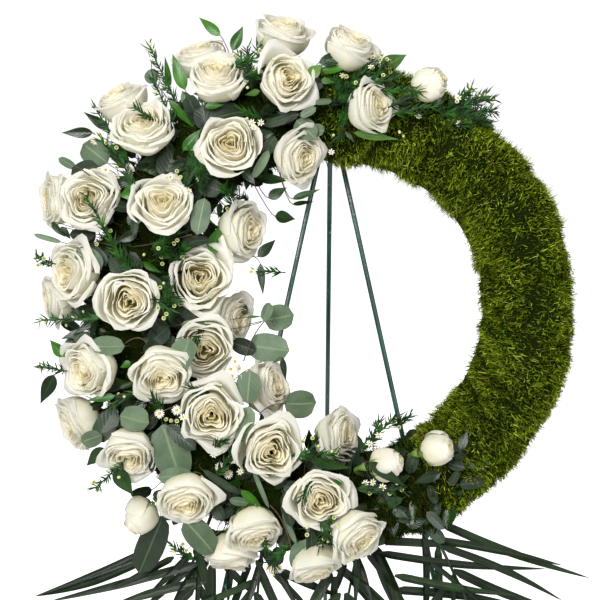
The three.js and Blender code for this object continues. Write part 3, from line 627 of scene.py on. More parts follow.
TWIGS = (
    ((-296, 157, 70), (-307, 166, 62), (-318, 171, 55)),
    ((-250, -47, 86), (-231, -34, 96), (-224, -48, 89)),
    ((-172, -42, 78), (-180, -26, 60), (-191, -18, 50)),
    ((-84, -21, 25), (-99, -36, 25), (-109, -70, 49)),
    ((-56, -121, 64), (-77, -120, 65), (-89, -134, 75)),
    ((-76, -242, 85), (-58, -256, 88), (-50, -296, 72)),
    ((-244, 71, 56), (-206, 73, 90), (-170, 84, 87)),
    ((-37, 228, 82), (-49, 232, 88), (-58, 221, 80)),
    ((-150, 321, 67), (-133, 324, 65), (-130, 307, 77)),
    ((-220, -140, 68), (-207, -129, 83), (-192, -124, 86)),
)
FILL_LEAVES = 420  # small dark leaves deep between the roses; half take the eucalyptus colour with painted shade
CREASE = 0.16
LEAF_ACROSS, LEAF_ALONG = 7, 10  # points of a leaf's grid
PETIOLE_RADIUS, TWIG_RADIUS = 0.55, 0.75
PETIOLE_REACH = 55  # how far a petiole runs back towards the foam
DRESSED = (96, 312)  # the dressed arc, in degrees round the ring


def blade(row, form, noise):
    """A leaf's grid of points in the ring's frame, with its petiole's line."""
    right, up, height, heading, tilt, length, width = row
    u, t = np.meshgrid(np.linspace(-1, 1, LEAF_ACROSS), np.linspace(0, 1, LEAF_ALONG),
                       indexing="ij")
    rounded, pointed = np.sqrt(np.clip(1 - (2 * t - 1) ** 2, 0, 1)), np.sin(np.pi * t ** 0.72)
    taper = rounded ** 0.85 if form == "round" else pointed * (1 - t) ** 0.18
    half = width / 2 * np.maximum(taper, 0.0)
    bend, twist = noise.normal(0.06, 0.10), noise.normal(0, 0.22)
    wave = 0.03 * width * np.sin(7 * t + noise.uniform(0, 6)) * u ** 2
    rise = CREASE * half * np.abs(u) * noise.uniform(0.4, 1.5) - bend * length * t ** 2 + wave
    rise = rise + twist * u * half * (t - 0.3)
    aim, tip = math.radians(heading), math.radians(tilt)
    along = np.array([math.cos(aim) * math.cos(tip), math.sin(aim) * math.cos(tip), math.sin(tip)])
    roll = noise.normal(0, 0.28)
    front = np.array([0, 0, 1.0]) - along * along[2]
    side = np.cross(front, along)
    normal = front * math.cos(roll) + side * math.sin(roll)
    across = np.cross(normal, along)
    foot = np.array([right, up, height], float)
    place = lambda a, b, c: foot + a[..., None] * along + b[..., None] * across + c[..., None] * normal
    points = place(t * length, u * half, rise)
    core = ring_core(np.array(math.atan2(up, right)))
    inward = core + np.array([0, 0, 20]) - foot
    root = foot + inward * min(1, PETIOLE_REACH / np.linalg.norm(inward))
    stalk = bezier(foot + along * 0.5, foot - along * 0.22 * length, root, 5)
    return points.reshape(-1, 3), np.abs(u).ravel(), t.ravel(), stalk


def leaf_piece(name, rows, form, material, seed, stands_for=()):
    """All the leaves of one kind as one piece, and their petioles as another."""
    noise = np.random.default_rng(seed)
    points, veins, reach, tones, stalks, stalk_faces = [], [], [], [], [], []
    for row in rows:
        grid, vein, along, line = blade(row, form, noise)
        points.append(grid)
        veins.append(vein)
        reach.append(along)
        tones.append(np.full(len(grid), noise.random()))
        tubes, quads = tube(line, PETIOLE_RADIUS, 5)
        stalk_faces.append(quads + sum(map(len, stalks)))
        stalks.append(tubes)
    faces = [grid_faces(LEAF_ACROSS, LEAF_ALONG, LEAF_ACROSS * LEAF_ALONG * i)
             for i in range(len(rows))]
    leaves = mesh_piece(name, to_world(np.concatenate(points)), faces, material,
                        vein=np.concatenate(veins), along=np.concatenate(reach),
                        tone=np.concatenate(tones))
    stems = mesh_piece(name + "_petioles", to_world(np.concatenate(stalks)),
                       [np.concatenate(stalk_faces)], petiole_material)
    for piece in (leaves, stems):
        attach(piece, "stand")
    if stands_for:
        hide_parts(*stands_for)


def leaf_skin(name, roughness, tones, midrib, share, coat=0.0):
    # A waxy blade: a tone of its own for every leaf, a paler midrib and faint side veins.
    material, tree, shader = new_material(name, Roughness=roughness, Coat_Weight=coat,
                                          Coat_Roughness=0.25, Specular_IOR_Level=0.3)
    vein, along, tone = (add(tree, "Attribute", attribute_name=key).outputs["Fac"]
                         for key in ("vein", "along", "tone"))
    place = add(tree, "TexCoord").outputs["Object"]
    cloud = add(tree, "TexNoise", {"Vector": place, "Scale": 1 / (16 * MM), "Detail": 4}).outputs[0]
    mixed = add(tree, "Math", {0: tone, 1: 0.6, 2: cloud}, operation="MULTIPLY_ADD").outputs[0]
    spread = add(tree, "MapRange", {0: mixed, 1: 0.35, 2: 1.25}).outputs[0]
    colour = add(tree, "ValToRGB", {0: spread}, tuple(zip((0.0, 0.5, 1.0), tones))).outputs[0]
    line = add(tree, "ValToRGB", {0: vein}, ((0.03, "#FFFFFF"), (0.09, "#000000"))).outputs[0]
    line = add(tree, "Math", {0: line, 1: 0.6}, operation="MULTIPLY").outputs[0]
    colour = add(tree, "MixRGB", {0: line, 1: colour, 2: linear(midrib)}).outputs[0]
    slope = add(tree, "Math", {0: along, 1: 40.0, 2: 0.0}, operation="MULTIPLY_ADD").outputs[0]
    skewed = add(tree, "Math", {0: vein, 1: -14.0, 2: slope}, operation="MULTIPLY_ADD").outputs[0]
    ribs = add(tree, "Math", {0: skewed}, operation="SINE").outputs[0]
    bump = add(tree, "Bump", {"Height": ribs, "Strength": 0.25, "Distance": 0.25 * MM})
    tree.links.new(colour, shader.inputs["Base Color"])
    tree.links.new(bump.outputs[0], shader.inputs["Normal"])
    return through(tree, shader, colour, share, material)


petiole_material, _, _ = new_material("leaf_stalk", Base_Color=linear("#4E3A28"), Roughness=0.6)
grey_leaf = leaf_skin("eucalyptus_leaf", 0.5, ("#4A5C46", "#5E7258", "#74886C"), "#8E9E74", 0.12)
# A darker copy of the eucalyptus colours, for leaves deep in the wreath: painted shade.
dark_leaf = leaf_skin("eucalyptus_leaf_painted_shade", 0.42, ("#1A261A", "#283626", "#3A4A36"), "#52644A", 0.05)
deep_leaf = leaf_skin("ruscus_leaf", 0.3, ("#0A1A06", "#142C0C", "#20440E"), "#2E5418", 0.06, 0.15)
# A brighter copy of the ruscus colours, for the leaves in BRIGHT_RUSCUS.
bright_ruscus_skin = leaf_skin("bright_ruscus_leaf", 0.3, ("#1E4606", "#2C640A", "#468414"), "#568C22", 0.2, 0.15)
pale_leaf = leaf_skin("rose_leaf", 0.4, ("#36581C", "#4A7428", "#648C3C"), "#84A456", 0.2, 0.1)

leaf_piece("eucalyptus_leaves", EUCALYPTUS, "round", grey_leaf, 3,
           ("eucalyptus_sprig_left", "eucalyptus_sprig_inner", "eucalyptus_sprig_bottom"))
leaf_piece("eucalyptus_leaves_dark", DARK_EUCALYPTUS, "round", dark_leaf, 4)
leaf_piece("ruscus_leaves", RUSCUS, "pointed", deep_leaf, 5, ("ruscus_sprig_right",))
leaf_piece("ruscus_leaves_young", BRIGHT_RUSCUS, "pointed", bright_ruscus_skin, 6)
leaf_piece("rose_leaves", ROSE_LEAVES, "pointed", pale_leaf, 7)


def fill_rows(count, seed):
    """Rows of small leaves packed over the dressed side of the ring, pointing outward."""
    noise = np.random.default_rng(seed)
    rows = []
    while len(rows) < count:
        angle = math.radians(noise.uniform(*DRESSED))
        off = noise.uniform(-1, 1)
        arc = math.pi * (math.degrees(angle) - DRESSED[0]) / (DRESSED[1] - DRESSED[0])
        spread = 78 * math.sin(arc) ** 0.3
        radius = RING_RADIUS + off * spread
        height = 54 * math.sqrt(max(1 - abs(off) ** 2.2, 0)) - 6 + noise.uniform(-4, 12)
        heading = math.degrees(angle) + (0 if off > 0 else 180) + noise.normal(0, 60)
        size = noise.uniform(20, 34)
        rows.append((radius * math.cos(angle), radius * math.sin(angle), height, heading,
                     noise.normal(18, 16), size, size * noise.uniform(0.4, 0.75)))
    return rows


leaf_piece("fill_leaves_dark", fill_rows(FILL_LEAVES // 2, 11), "round", dark_leaf, 8)
leaf_piece("fill_leaves_deep", fill_rows(FILL_LEAVES // 2, 12), "pointed", deep_leaf, 9)

twig_points, twig_faces = [], []
for line in TWIGS:
    points, faces = tube(bezier(*line, 12), TWIG_RADIUS, 6)
    twig_faces.append(faces + sum(map(len, twig_points)))
    twig_points.append(points)
twigs = mesh_piece("leaf_twigs", to_world(np.concatenate(twig_points)), [np.concatenate(twig_faces)],
                   petiole_material)
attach(twigs, "stand")


# --- Waxflower and asters ------------------------------------------------------------------
# Filler sprigs cut short: waxflower with needle leaves, pale buds, cream cups and small white
# flowers, and white asters with yellow eyes. Places are right, up and forward of the centre.

NEEDLE_SPRIGS = (
    ((-187, 236, 64), (-228, 324, 25), 22), ((-196, 225, 74), (-224, 284, 25), 14),
    ((-252, 179, 70), (-297, 248, 27), 18), ((-258, 171, 62), (-286, 207, 58), 12),
    ((-235, 132, 99), (-258, 177, 66), 14), ((-158, 139, 85), (-170, 187, 86), 20),
    ((-152, 157, 88), (-180, 163, 84), 14), ((-98, 265, 88), (-104, 315, 60), 16),
    ((-95, 277, 90), (-115, 304, 73), 10), ((-83, 282, 99), (-94, 325, 29), 10),
    ((-88, 226, 83), (-110, 233, 88), 8), ((-1, 242, 82), (50, 299, 66), 26),
    ((23, 251, 100), (70, 297, 49), 20), ((11, 259, 88), (-1, 279, 56), 12),
    ((41, 263, 100), (81, 276, 72), 16), ((59, 257, 102), (107, 255, 93), 12),
    ((17, 222, 95), (5, 203, 51), 10), ((140, 235, 72), (205, 259, 25), 20),
    ((152, 230, 55), (194, 244, 25), 12), ((134, 230, 70), (174, 267, 25), 12),
    ((-341, 50, 75), (-370, 59, 25), 10), ((-245, 39, 100), (-299, 132, 80), 26),
    ((-235, 44, 95), (-274, 80, 52), 16), ((-194, 50, 62), (-198, 78, 93), 14),
    ((-178, 52, 69), (-213, 66, 83), 12), ((-196, -18, 85), (-200, 24, 89), 16),
    ((-185, -6, 56), (-211, 6, 101), 14), ((-280, -16, 95), (-364, -20, 25), 22),
    ((-118, 111, 56), (-131, 145, 86), 12), ((-106, 130, 44), (-125, 137, 80), 10),
    ((-251, -189, 92), (-295, -229, 25), 14), ((-243, -109, 84), (-270, -121, 67), 10),
    ((-47, -184, 87), (5, -181, 80), 18), ((-37, -189, 86), (-16, -162, 47), 10),
    ((33, -179, 72), (81, -139, 25), 22), ((41, -173, 78), (61, -144, 25), 14),
    ((30, -223, 87), (86, -225, 70), 16), ((-16, -257, 105), (4, -288, 94), 14),
    ((-1, -250, 106), (-16, -291, 79), 10), ((-140, -206, 78), (-120, -182, 75), 12),
    ((-144, -175, 82), (-131, -163, 89), 8), ((-83, -282, 97), (-69, -328, 44), 16),
    ((-56, -297, 76), (-76, -312, 78), 12), ((-176, -318, 25), (-199, -300, 25), 12),
    ((-218, 223, 86), (-241, 238, 81), 8), ((-66, 41, 25), (-95, 41, 30), 8),
    ((-328, -81, 80), (-367, -76, 25), 8), ((80, -150, 25), (99, -138, 25), 8),
    ((-160, -30, 69), (-170, -54, 84), 8), ((-206, -127, 86), (-217, -114, 95), 8),
    ((-151, -108, 94), (-170, -102, 88), 8), ((-25, -208, 104), (-37, -232, 107), 8),
    ((139, 232, 70), (208, 242, 25), 22), ((141, 227, 56), (200, 227, 28), 20),
    ((144, 242, 75), (176, 272, 25), 16), ((153, 242, 51), (194, 264, 25), 18),
    ((149, 230, 55), (184, 231, 43), 16), ((129, 225, 56), (171, 218, 55), 10),
    ((-1, 262, 56), (45, 281, 86), 22), ((8, 247, 90), (54, 273, 92), 20),
    ((-7, 237, 56), (23, 263, 94), 18), ((11, 225, 91), (25, 247, 102), 14),
    ((73, 240, 100), (98, 249, 84), 14), ((78, 231, 96), (132, 240, 82), 16),
    ((-219, 66, 82), (-186, 83, 94), 18), ((-200, 53, 57), (-175, 71, 81), 16),
    ((-213, 6, 103), (-196, -8, 88), 14), ((-205, 16, 95), (-187, 4, 82), 14),
    ((-173, 175, 82), (-158, 156, 84), 18), ((-178, 142, 97), (-168, 166, 82), 16),
    ((-276, 67, 59), (-244, 52, 89), 14), ((-120, 289, 82), (-98, 297, 81), 16),
    ((-115, 272, 81), (-90, 277, 94), 14),
)
BUDS = (
    (-103, 262, 85), (-103, 223, 95), (173, 272, 30), (178, 269, 30), (185, 266, 30),
    (191, 261, 30), (201, 251, 30), (205, 246, 30), (200, 240, 30), (193, 233, 30), (184, 233, 42),
    (172, 249, 30), (177, 241, 39), (81, 208, 86), (88, 207, 57), (2, 209, 52), (-370, 58, 30),
    (-187, 62, 62), (-231, 61, 58), (-203, 25, 92), (-211, 10, 103), (-363, -19, 30),
    (-357, -22, 30), (-348, -19, 30), (-341, -25, 30), (-331, -26, 30), (-314, -16, 56),
    (-305, -9, 61), (-227, 326, 30), (-223, 319, 30), (-230, 318, 30), (-220, 311, 30),
    (-225, 306, 30), (-216, 283, 30), (-216, 260, 67), (-270, -201, 82), (-258, -209, 82),
    (-260, -109, 72), (-252, -112, 78), (-267, -122, 67), (-260, -118, 66), (-29, -179, 82),
    (-17, -173, 67), (-1, -178, 81), (77, -216, 87), (5, -266, 97), (-6, -285, 90),
    (-136, -179, 79), (-31, -267, 98), (166, 261, 30), (202, 256, 30), (159, 245, 49),
)
CUPS = (
    (-277, 198, 65), (-263, 191, 73), (-265, 168, 58), (-188, 160, 91), (-183, 152, 96),
    (-160, 179, 96), (-172, 159, 86), (-169, 184, 89), (-119, 302, 78), (-112, 309, 70),
    (-104, 306, 66), (-88, 307, 84), (-95, 283, 91), (17, 276, 84), (28, 266, 96), (59, 300, 62),
    (69, 293, 50), (196, 257, 30), (190, 240, 30), (183, 259, 30), (152, 247, 74), (168, 262, 30),
    (68, 302, 55), (61, 306, 61), (72, 301, 50), (73, 289, 40), (61, 276, 90), (50, 302, 69),
    (39, 295, 73), (-352, 56, 68), (-360, 48, 63), (-272, 90, 60), (-288, 73, 65), (-256, 57, 86),
    (-210, 67, 87), (-187, 77, 92), (-191, 73, 90), (-192, 60, 61), (-183, 57, 67), (-210, 58, 55),
    (-209, 50, 54), (-207, 20, 97), (-209, -5, 101), (-200, -12, 92), (-203, -17, 92),
    (-191, -2, 87), (-186, 0, 62), (-184, 6, 67), (-210, 270, 30), (-129, 118, 50),
    (-296, -221, 30), (-291, -231, 30), (-36, -166, 81), (-24, -163, 71), (-8, -180, 84),
    (5, -181, 82), (55, -148, 30), (70, -148, 30), (79, -143, 30), (84, -153, 30), (45, -229, 76),
    (69, -230, 74), (84, -225, 74), (1, -254, 105), (-1, -275, 94), (-11, -282, 88),
    (-15, -289, 83), (-202, -140, 74), (-195, -141, 79), (-188, -141, 84), (-129, -199, 66),
    (-185, -298, 30), (-181, -306, 30), (-31, -277, 91), (173, 266, 30), (183, 258, 30),
    (193, 261, 30), (177, 241, 39), (190, 240, 30),
)
WAXFLOWERS = (
    (-265, 157, 60), (-162, 153, 83), (-195, 152, 100), (-173, 135, 99), (-97, 218, 95),
    (-87, 219, 88), (-95, 211, 98), (47, 287, 83), (156, 223, 57), (153, 251, 76), (13, 280, 64),
    (105, 229, 72), (-1, 187, 63), (56, -159, 75), (45, -169, 80), (40, -217, 75), (48, -215, 84),
    (60, -221, 83), (-180, -136, 91), (-112, -203, 77), (-144, -182, 78), (-73, -334, 30),
    (-109, -88, 71), (-195, -307, 30),
)
ASTERS = (
    (-285, 209, 61), (-296, 205, 30), (-278, 165, 61), (-249, 167, 64), (-209, -132, 83),
    (-188, -128, 85), (-190, -151, 80), (-137, -197, 73), (-127, -208, 58), (-121, -188, 75),
    (-77, -320, 74), (-65, -325, 50), (-119, -70, 59), (-124, -79, 71), (-114, -79, 53),
    (-122, -87, 77), (-100, 41, 33), (-362, -79, 30),
)
NEEDLE = (9, 17)  # lengths
NEEDLE_HALF = 0.85
NEEDLES = 4  # for each of a sprig's count
SPRIG_RADIUS, PEDICEL_RADIUS = 0.8, 0.5


class Heap:
    """Points and faces of many small parts gathered into one mesh."""

    def __init__(self):
        self.points, self.quads, self.triangles, self.count = [], [], [], 0

    def put(self, points, quads=(), triangles=()):
        for faces, kept in ((quads, self.quads), (triangles, self.triangles)):
            if len(faces):
                kept.append(np.asarray(faces) + self.count)
        self.points.append(np.asarray(points, float))
        self.count += len(points)

    def piece(self, name, material, slot):
        faces = [np.concatenate(kept) for kept in (self.quads, self.triangles) if kept]
        made = mesh_piece(name, to_world(np.concatenate(self.points)), faces, material)
        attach(made, "stand")
        return made


def lathe(profile, sides):
    """Points and quads of a profile of (radius, height) turned about the third axis."""
    turn = np.linspace(0, 2 * math.pi, sides, endpoint=False)
    ring = np.array([[(r * math.cos(a), r * math.sin(a), z) for a in turn] for r, z in profile])
    return ring.reshape(-1, 3), wrapped_faces(len(profile), sides)


def spokes(count, foot, reach, half, level, tip_half, noise):
    """Flat rays round a flower's eye."""
    points, faces = [], []
    for number in range(count):
        angle = 2 * math.pi * number / count + noise.normal(0, 0.05)
        c, s = math.cos(angle), math.sin(angle)
        long = reach * noise.uniform(0.88, 1.08)
        flat = [(foot, -half * 0.5), (foot, half * 0.5), (0.6 * long, -half), (0.6 * long, half),
                (long, -tip_half), (long, tip_half)]
        rise = (0, 0, level, level, level * 0.5, level * 0.5)
        points += [(x * c - y * s, x * s + y * c, z) for (x, y), z in zip(flat, rise)]
        faces += [[6 * number + k for k in quad] for quad in ((0, 2, 3, 1), (2, 4, 5, 3))]
    return np.array(points), np.array(faces)


def flower_frame(noise, lean):
    """A small flower's own axes, leaning a little away from the ring's front."""
    face = np.array([noise.normal(0, lean), noise.normal(0, lean), 1])
    return axes_along(face, noise.uniform(0, 6))


noise = np.random.default_rng(21)
greens, creams, whites, eyes, throats = Heap(), Heap(), Heap(), Heap(), Heap()
for start, end, count in NEEDLE_SPRIGS:
    start, end = np.array(start, float), np.array(end, float)
    along = unit(end - start)
    line = bezier(start - along * 8 - (0, 0, 22), start + (0, 0, 6), end + (0, 0, 3), 9)
    greens.put(*tube(line, SPRIG_RADIUS, 5))
    for number in range(count * NEEDLES):
        place = 8 * (0.2 + 0.8 * number / (count * NEEDLES))
        foot = line[int(place)] * (1 - place % 1) + line[min(int(place) + 1, 8)] * (place % 1)
        round_it = noise.uniform(0, 2 * math.pi)
        first, second, _ = axes_along(along)
        side = first * math.cos(round_it) + second * math.sin(round_it)
        lean = noise.uniform(0.45, 0.85)
        aim = unit(along * (1.15 - lean * 0.6) + side * lean)
        size = noise.uniform(*NEEDLE)
        wide = unit(np.cross(aim, (0.1, 0.2, 1))) * NEEDLE_HALF
        middle = foot + aim * size * 0.5
        tip = foot + aim * size + along * size * 0.12
        greens.put([foot - wide * 0.6, foot + wide * 0.6, middle + wide, middle - wide, tip],
                   [[0, 1, 2, 3]], [[3, 2, 4]])


def pedicel(foot, axes, length=15):
    """A small flower's stalk, down into the foliage."""
    knee = np.array(foot) - axes[2] * length * 0.6
    drop = np.array(foot) - axes[2] * length - np.array([0, 0, length * 0.6])
    greens.put(*tube(bezier(foot, knee, drop, 4), PEDICEL_RADIUS, 4))


for place in BUDS:
    axes = flower_frame(noise, 0.6)
    bud, quads = lathe([(0.2, -2.6), (1.5, -1.6), (2.0, 0), (1.5, 1.7), (0.1, 2.5)], 8)
    creams.put(bud @ axes + place, quads)
    pedicel(place, axes)
for place in CUPS:
    axes = flower_frame(noise, 0.35)
    cup, quads = lathe([(0.6, -3.4), (1.9, -1.6), (2.7, 0.9), (2.3, 1.4), (1.6, 0.5)], 9)
    creams.put(cup @ axes + place, quads)
    eye, quads = lathe([(1.7, 0.5), (0.9, 0.2), (0.1, 0.5)], 9)
    throats.put(eye @ axes + place, quads)
    pedicel(place, axes)
for place in WAXFLOWERS:
    axes = flower_frame(noise, 0.35)
    cup, quads = lathe([(0.6, -3.4), (1.9, -1.6), (2.3, 0.2), (1.2, 0.3)], 8)
    creams.put(cup @ axes + place, quads)
    eye, quads = lathe([(1.4, 0.4), (0.9, 0.9), (0.1, 1.0)], 8)
    eyes.put(eye @ axes + place, quads)
    petals, quads = spokes(7, 1.2, 4.6, 0.9, 0.9, 0.5, noise)
    whites.put(petals @ axes + place, quads)
    pedicel(place, axes)
for place in ASTERS:
    axes = flower_frame(noise, 0.25)
    eye, quads = lathe([(2.1, -0.3), (1.7, 0.7), (0.9, 1.2), (0.1, 1.3)], 10)
    eyes.put(eye @ axes + place, quads)
    for level in (0.2, 0.7):
        rays, quads = spokes(14, 1.4, 6.4 - level, 0.62, level, 0.35, noise)
        whites.put(rays @ axes + place, quads)
    pedicel(place, axes)

needle_green, tree, shader = new_material("waxflower_needle", Roughness=0.5, Specular_IOR_Level=0.2)
place = add(tree, "TexCoord").outputs["Object"]
tone = add(tree, "TexNoise", {"Vector": place, "Scale": 1 / (14 * MM), "Detail": 2}).outputs[0]
tree.links.new(add(tree, "ValToRGB", {0: tone},
                   ((0.3, "#0C2006"), (0.5, "#183A0C"), (0.72, "#2E641A"))).outputs[0],
               shader.inputs["Base Color"])
cup_cream, _, _ = new_material("waxflower_cup", Base_Color=linear("#CFD394"), Roughness=0.5)
petal_white, _, _ = new_material("small_petal_white", Base_Color=linear("#E6E5DC"), Roughness=0.6)
eye_yellow, _, _ = new_material("flower_eye", Base_Color=linear("#C9A90E"), Roughness=0.8)
throat_green, _, _ = new_material("waxflower_throat", Base_Color=linear("#6A7A1C"), Roughness=0.7)
greens.piece("filler_needles", needle_green, "ruscus_leaf")
creams.piece("filler_cups", cup_cream, "ruscus_leaf")
whites.piece("filler_petals", petal_white, "rose_petals")
eyes.piece("filler_eyes", eye_yellow, "rose_petals")
throats.piece("filler_throats", throat_green, "rose_petals")


# --- Palm ----------------------------------------------------------------------------------
# Four cut palm fronds pushed into the foam's lower edge, spreading behind the flowers. A frond
# is a stiff rachis with two rows of long pleated straps, dark green with a low sheen.

# Name, then the rachis as three points: right, up and height.
FRONDS = (
    ("palm_frond_right", (118, -262, -8), (176, -380, -18), (222, -480, -30)),
    ("palm_frond_centre_right", (44, -262, -8), (20, -380, -18), (0, -490, -30)),
    ("palm_frond_centre_left", (-84, -262, -8), (-94, -380, -18), (-106, -490, -30)),
    ("palm_frond_left", (-150, -262, -8), (-196, -380, -18), (-236, -470, -30)),
)
# The straps: frond, the foot's right and up, the tip's, and the width.
STRAPS = (
    (0, 137, -278, 335, -351, 11.4), (0, 128, -298, 297, -332, 10.2),
    (0, 140, -307, 298, -379, 10.2), (0, 156, -337, 310, -397, 12.7),
    (0, 59, -316, 280, -338, 10.2), (0, 81, -344, 236, -369, 10.2), (0, 63, -301, 179, -308, 11.4),
    (0, 119, -288, 116, -450, 10.2), (0, 137, -307, 135, -463, 10.2),
    (0, 156, -339, 155, -443, 6.3), (0, 82, -365, 249, -387, 11.4), (0, 159, -378, 294, -437, 12.7),
    (0, 168, -403, 243, -495, 12.7), (0, 178, -429, 217, -508, 11.4),
    (0, 159, -391, 114, -495, 11.4), (0, 146, -359, 82, -456, 11.4), (0, 127, -327, 191, -379, 7.6),
    (1, 45, -315, 119, -415, 8.9), (1, 55, -307, 111, -437, 14.0), (1, 52, -310, 89, -402, 7.6),
    (1, 33, -295, 30, -394, 8.9), (1, 5, -330, 85, -394, 15.2), (1, 0, -339, -40, -407, 14.0),
    (1, 5, -346, 3, -437, 10.2), (1, 18, -327, -1, -382, 8.9), (1, 12, -367, -59, -430, 12.7),
    (1, 18, -365, 69, -463, 14.0), (1, 9, -397, -40, -495, 12.7), (1, 14, -403, 44, -495, 11.4),
    (1, 24, -307, 53, -379, 11.4), (1, 14, -311, -17, -366, 11.4), (1, 24, -346, 89, -430, 12.7),
    (2, -95, -324, -71, -387, 7.6), (2, -88, -321, -117, -407, 8.9),
    (2, -95, -350, -191, -389, 10.2), (2, -97, -359, -162, -443, 11.4),
    (2, -97, -365, -40, -450, 11.4), (2, -104, -329, -140, -430, 10.2),
    (2, -151, -327, -158, -437, 11.4), (2, -127, -327, -132, -385, 8.9),
    (2, -91, -339, -50, -430, 11.4), (2, -104, -391, -162, -469, 12.7),
    (2, -101, -393, -59, -482, 11.4), (2, -78, -333, -14, -405, 12.7),
    (2, -65, -339, 12, -374, 11.4), (2, -88, -311, -40, -392, 11.4),
    (3, -242, -316, -380, -373, 7.6), (3, -232, -323, -383, -376, 11.4),
    (3, -229, -319, -320, -353, 5.1), (3, -168, -329, -367, -383, 11.4),
    (3, -159, -352, -299, -394, 11.4), (3, -178, -315, -238, -375, 10.2),
    (3, -159, -321, -213, -407, 16.5), (3, -168, -329, -170, -437, 7.6),
    (3, -174, -359, -265, -441, 12.7), (3, -183, -378, -220, -482, 12.7),
    (3, -181, -337, -248, -400, 10.2), (3, -173, -307, -148, -394, 11.4),
    (3, -149, -316, -89, -379, 10.2), (3, -178, -346, -127, -430, 11.4),
    (3, -200, -321, -284, -364, 8.9),
)
STRAP_ACROSS, STRAP_ALONG = 5, 16  # points of a strap's grid
RACHIS_RADIUS = (2.4, 0.9)  # at the foot and at the tip


def strap(foot, tip, width, noise):
    """A palm strap: folded along its middle, narrow at both ends, bowed a little."""
    u, t = np.meshgrid(np.linspace(-1, 1, STRAP_ACROSS), np.linspace(0, 1, STRAP_ALONG),
                       indexing="ij")
    half = width / 2 * np.minimum(t / 0.1 + 0.3, 1) * np.clip((1 - t) / 0.5, 0, 1) ** 0.75
    fold = 0.5 * half * (np.abs(u) - 0.3) * noise.uniform(0.4, 1.2)
    length = np.linalg.norm(tip - foot)
    along = (tip - foot) / length
    roll = noise.normal(0, 0.3)
    side = unit(np.cross((0, 0, 1.0), along))
    front = np.cross(along, side)
    across = side * math.cos(roll) + front * math.sin(roll)
    normal = front * math.cos(roll) - side * math.sin(roll)
    bow = noise.normal(0, 0.018) * length * np.sin(math.pi * t)
    points = (foot + (t * length)[..., None] * along + (u * half + bow)[..., None] * across
              + fold[..., None] * normal)
    return points.reshape(-1, 3), np.abs(u).ravel(), t.ravel()


palm_skin = leaf_skin("palm_leaf", 0.4, ("#0A1608", "#12220C", "#243A1A"), "#2C4824", 0.04, 0.1)
rachis_skin, _, _ = new_material("palm_rachis", Base_Color=linear("#1E3218"), Roughness=0.5)
noise = np.random.default_rng(60)
strap_points = STRAP_ACROSS * STRAP_ALONG
for number, (name, root, bend, end) in enumerate(FRONDS):
    parts = []
    for _, x0, y0, x1, y1, width in (row for row in STRAPS if row[0] == number):
        foot = np.array([x0, y0, noise.normal(-14, 5)])
        tip = np.array([x1, y1, noise.normal(-20, 10)])
        parts.append(strap(foot, tip, width, noise))
    points, veins, reach = (np.concatenate(part) for part in zip(*parts))
    tones = np.repeat(noise.random(len(parts)), strap_points)
    faces = [grid_faces(STRAP_ACROSS, STRAP_ALONG, strap_points * i) for i in range(len(parts))]
    straps = mesh_piece(name + "_straps", to_world(points), faces, palm_skin,
                        vein=veins, along=reach, tone=tones)
    stem = bezier(root, bend, end, 24)
    rod, quads = tube(stem, np.linspace(*RACHIS_RADIUS, len(stem)))
    spine = mesh_piece(name + "_rachis", to_world(rod), [quads], rachis_skin)
    for piece in (straps, spine):
        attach(piece, "stand")
    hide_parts(name)


# --- Studio --------------------------------------------------------------------------------
# A plain white room: a pale floor that runs out under the easel, and broad soft lamps.

CAMERA_DISTANCE = 1.7
CAMERA_RISE = math.radians(9)
VIEW_WIDTH = 0.762  # across the view at the ring
VIEW_SHIFT = Vector((-0.0394, 0, 0.0064))  # from the ring's centre to the middle of the view

target = centre + VIEW_SHIFT
eye = target + Vector((0, -math.cos(CAMERA_RISE), math.sin(CAMERA_RISE))) * CAMERA_DISTANCE
camera = bpy.data.objects.new("camera", bpy.data.cameras.new("camera"))
camera.location = eye
camera.rotation_euler = (target - eye).to_track_quat("-Z", "Y").to_euler()
camera.data.sensor_width = 36
camera.data.lens = 36 * CAMERA_DISTANCE / VIEW_WIDTH
bpy.context.scene.collection.objects.link(camera)
bpy.context.scene.camera = camera


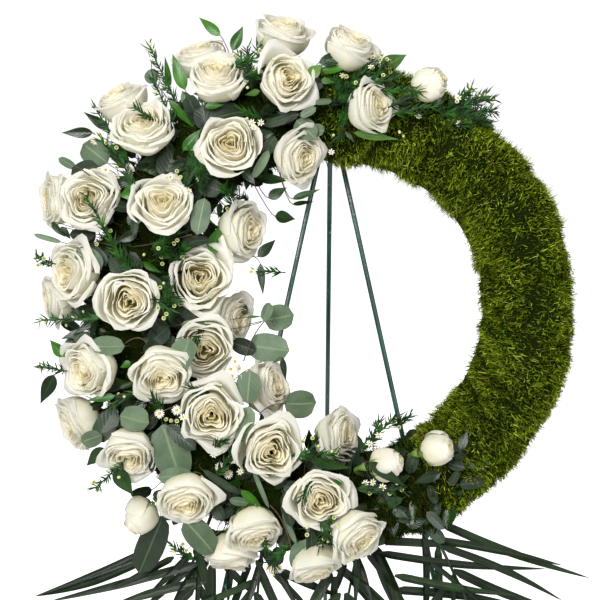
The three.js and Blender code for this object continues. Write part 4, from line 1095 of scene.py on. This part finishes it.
def lamp(name, place, aim, size, watts):
    """A square soft lamp at a place, turned to what it lights."""
    data = bpy.data.lights.new(name, "AREA")
    data.size = size
    data.energy = watts
    lit = bpy.data.objects.new(name, data)
    lit.location = place
    lit.rotation_euler = (Vector(aim) - Vector(place)).to_track_quat("-Z", "Y").to_euler()
    bpy.context.scene.collection.objects.link(lit)


lamp("key", (-0.8, -2.7, 2.3), centre, 1.2, 88)
lamp("fill", (1.9, -2.2, 1.5), centre, 2.2, 18)
lamp("top", (0.0, 0.2, 3.4), centre, 2.0, 22)

SEEN_WHITE = 1.05  # the room's walls as seen
ROOM_LIGHT = 0.3  # what they give the wreath
bpy.context.scene.view_settings.view_transform = "Standard"
world = bpy.data.worlds.new("studio")
world.use_nodes = True
tree = world.node_tree
shown = add(tree, "LightPath").outputs["Is Camera Ray"]
strength = add(tree, "MapRange", {0: shown, 3: ROOM_LIGHT, 4: SEEN_WHITE}).outputs[0]
tree.links.new(strength, tree.nodes["Background"].inputs["Strength"])
tree.nodes["Background"].inputs["Color"].default_value = (1, 1, 1, 1)
bpy.context.scene.world = world

# White seamless paper, lit up to white everywhere but close under the easel.
FLOOR_HALF = 12
FLOOR_DIM, FLOOR_WHITE = 0.5, 1.6  # where it starts to brighten and where it is white
floor_material, tree, shader = new_material("white_paper", Base_Color=linear("#F4F4F2"), Roughness=0.9)
place = add(tree, "TexCoord").outputs["Object"]
away = add(tree, "VectorMath", {0: place}, operation="LENGTH").outputs["Value"]
shown = add(tree, "LightPath").outputs["Is Camera Ray"]
lit = add(tree, "MapRange", {0: away, 1: FLOOR_DIM, 2: FLOOR_WHITE, 3: 0.0, 4: SEEN_WHITE}).outputs[0]
glow = add(tree, "Math", {0: lit, 1: shown}, operation="MULTIPLY").outputs[0]
tree.links.new(glow, shader.inputs["Emission Strength"])
shader.inputs["Emission Color"].default_value = (1, 1, 1, 1)
corners = [(FLOOR_HALF * x, FLOOR_HALF * y, 0) for x, y in ((-1, -1), (1, -1), (1, 1), (-1, 1))]
floor = mesh_piece("floor", corners, [[[0, 1, 2, 3]]], floor_material)
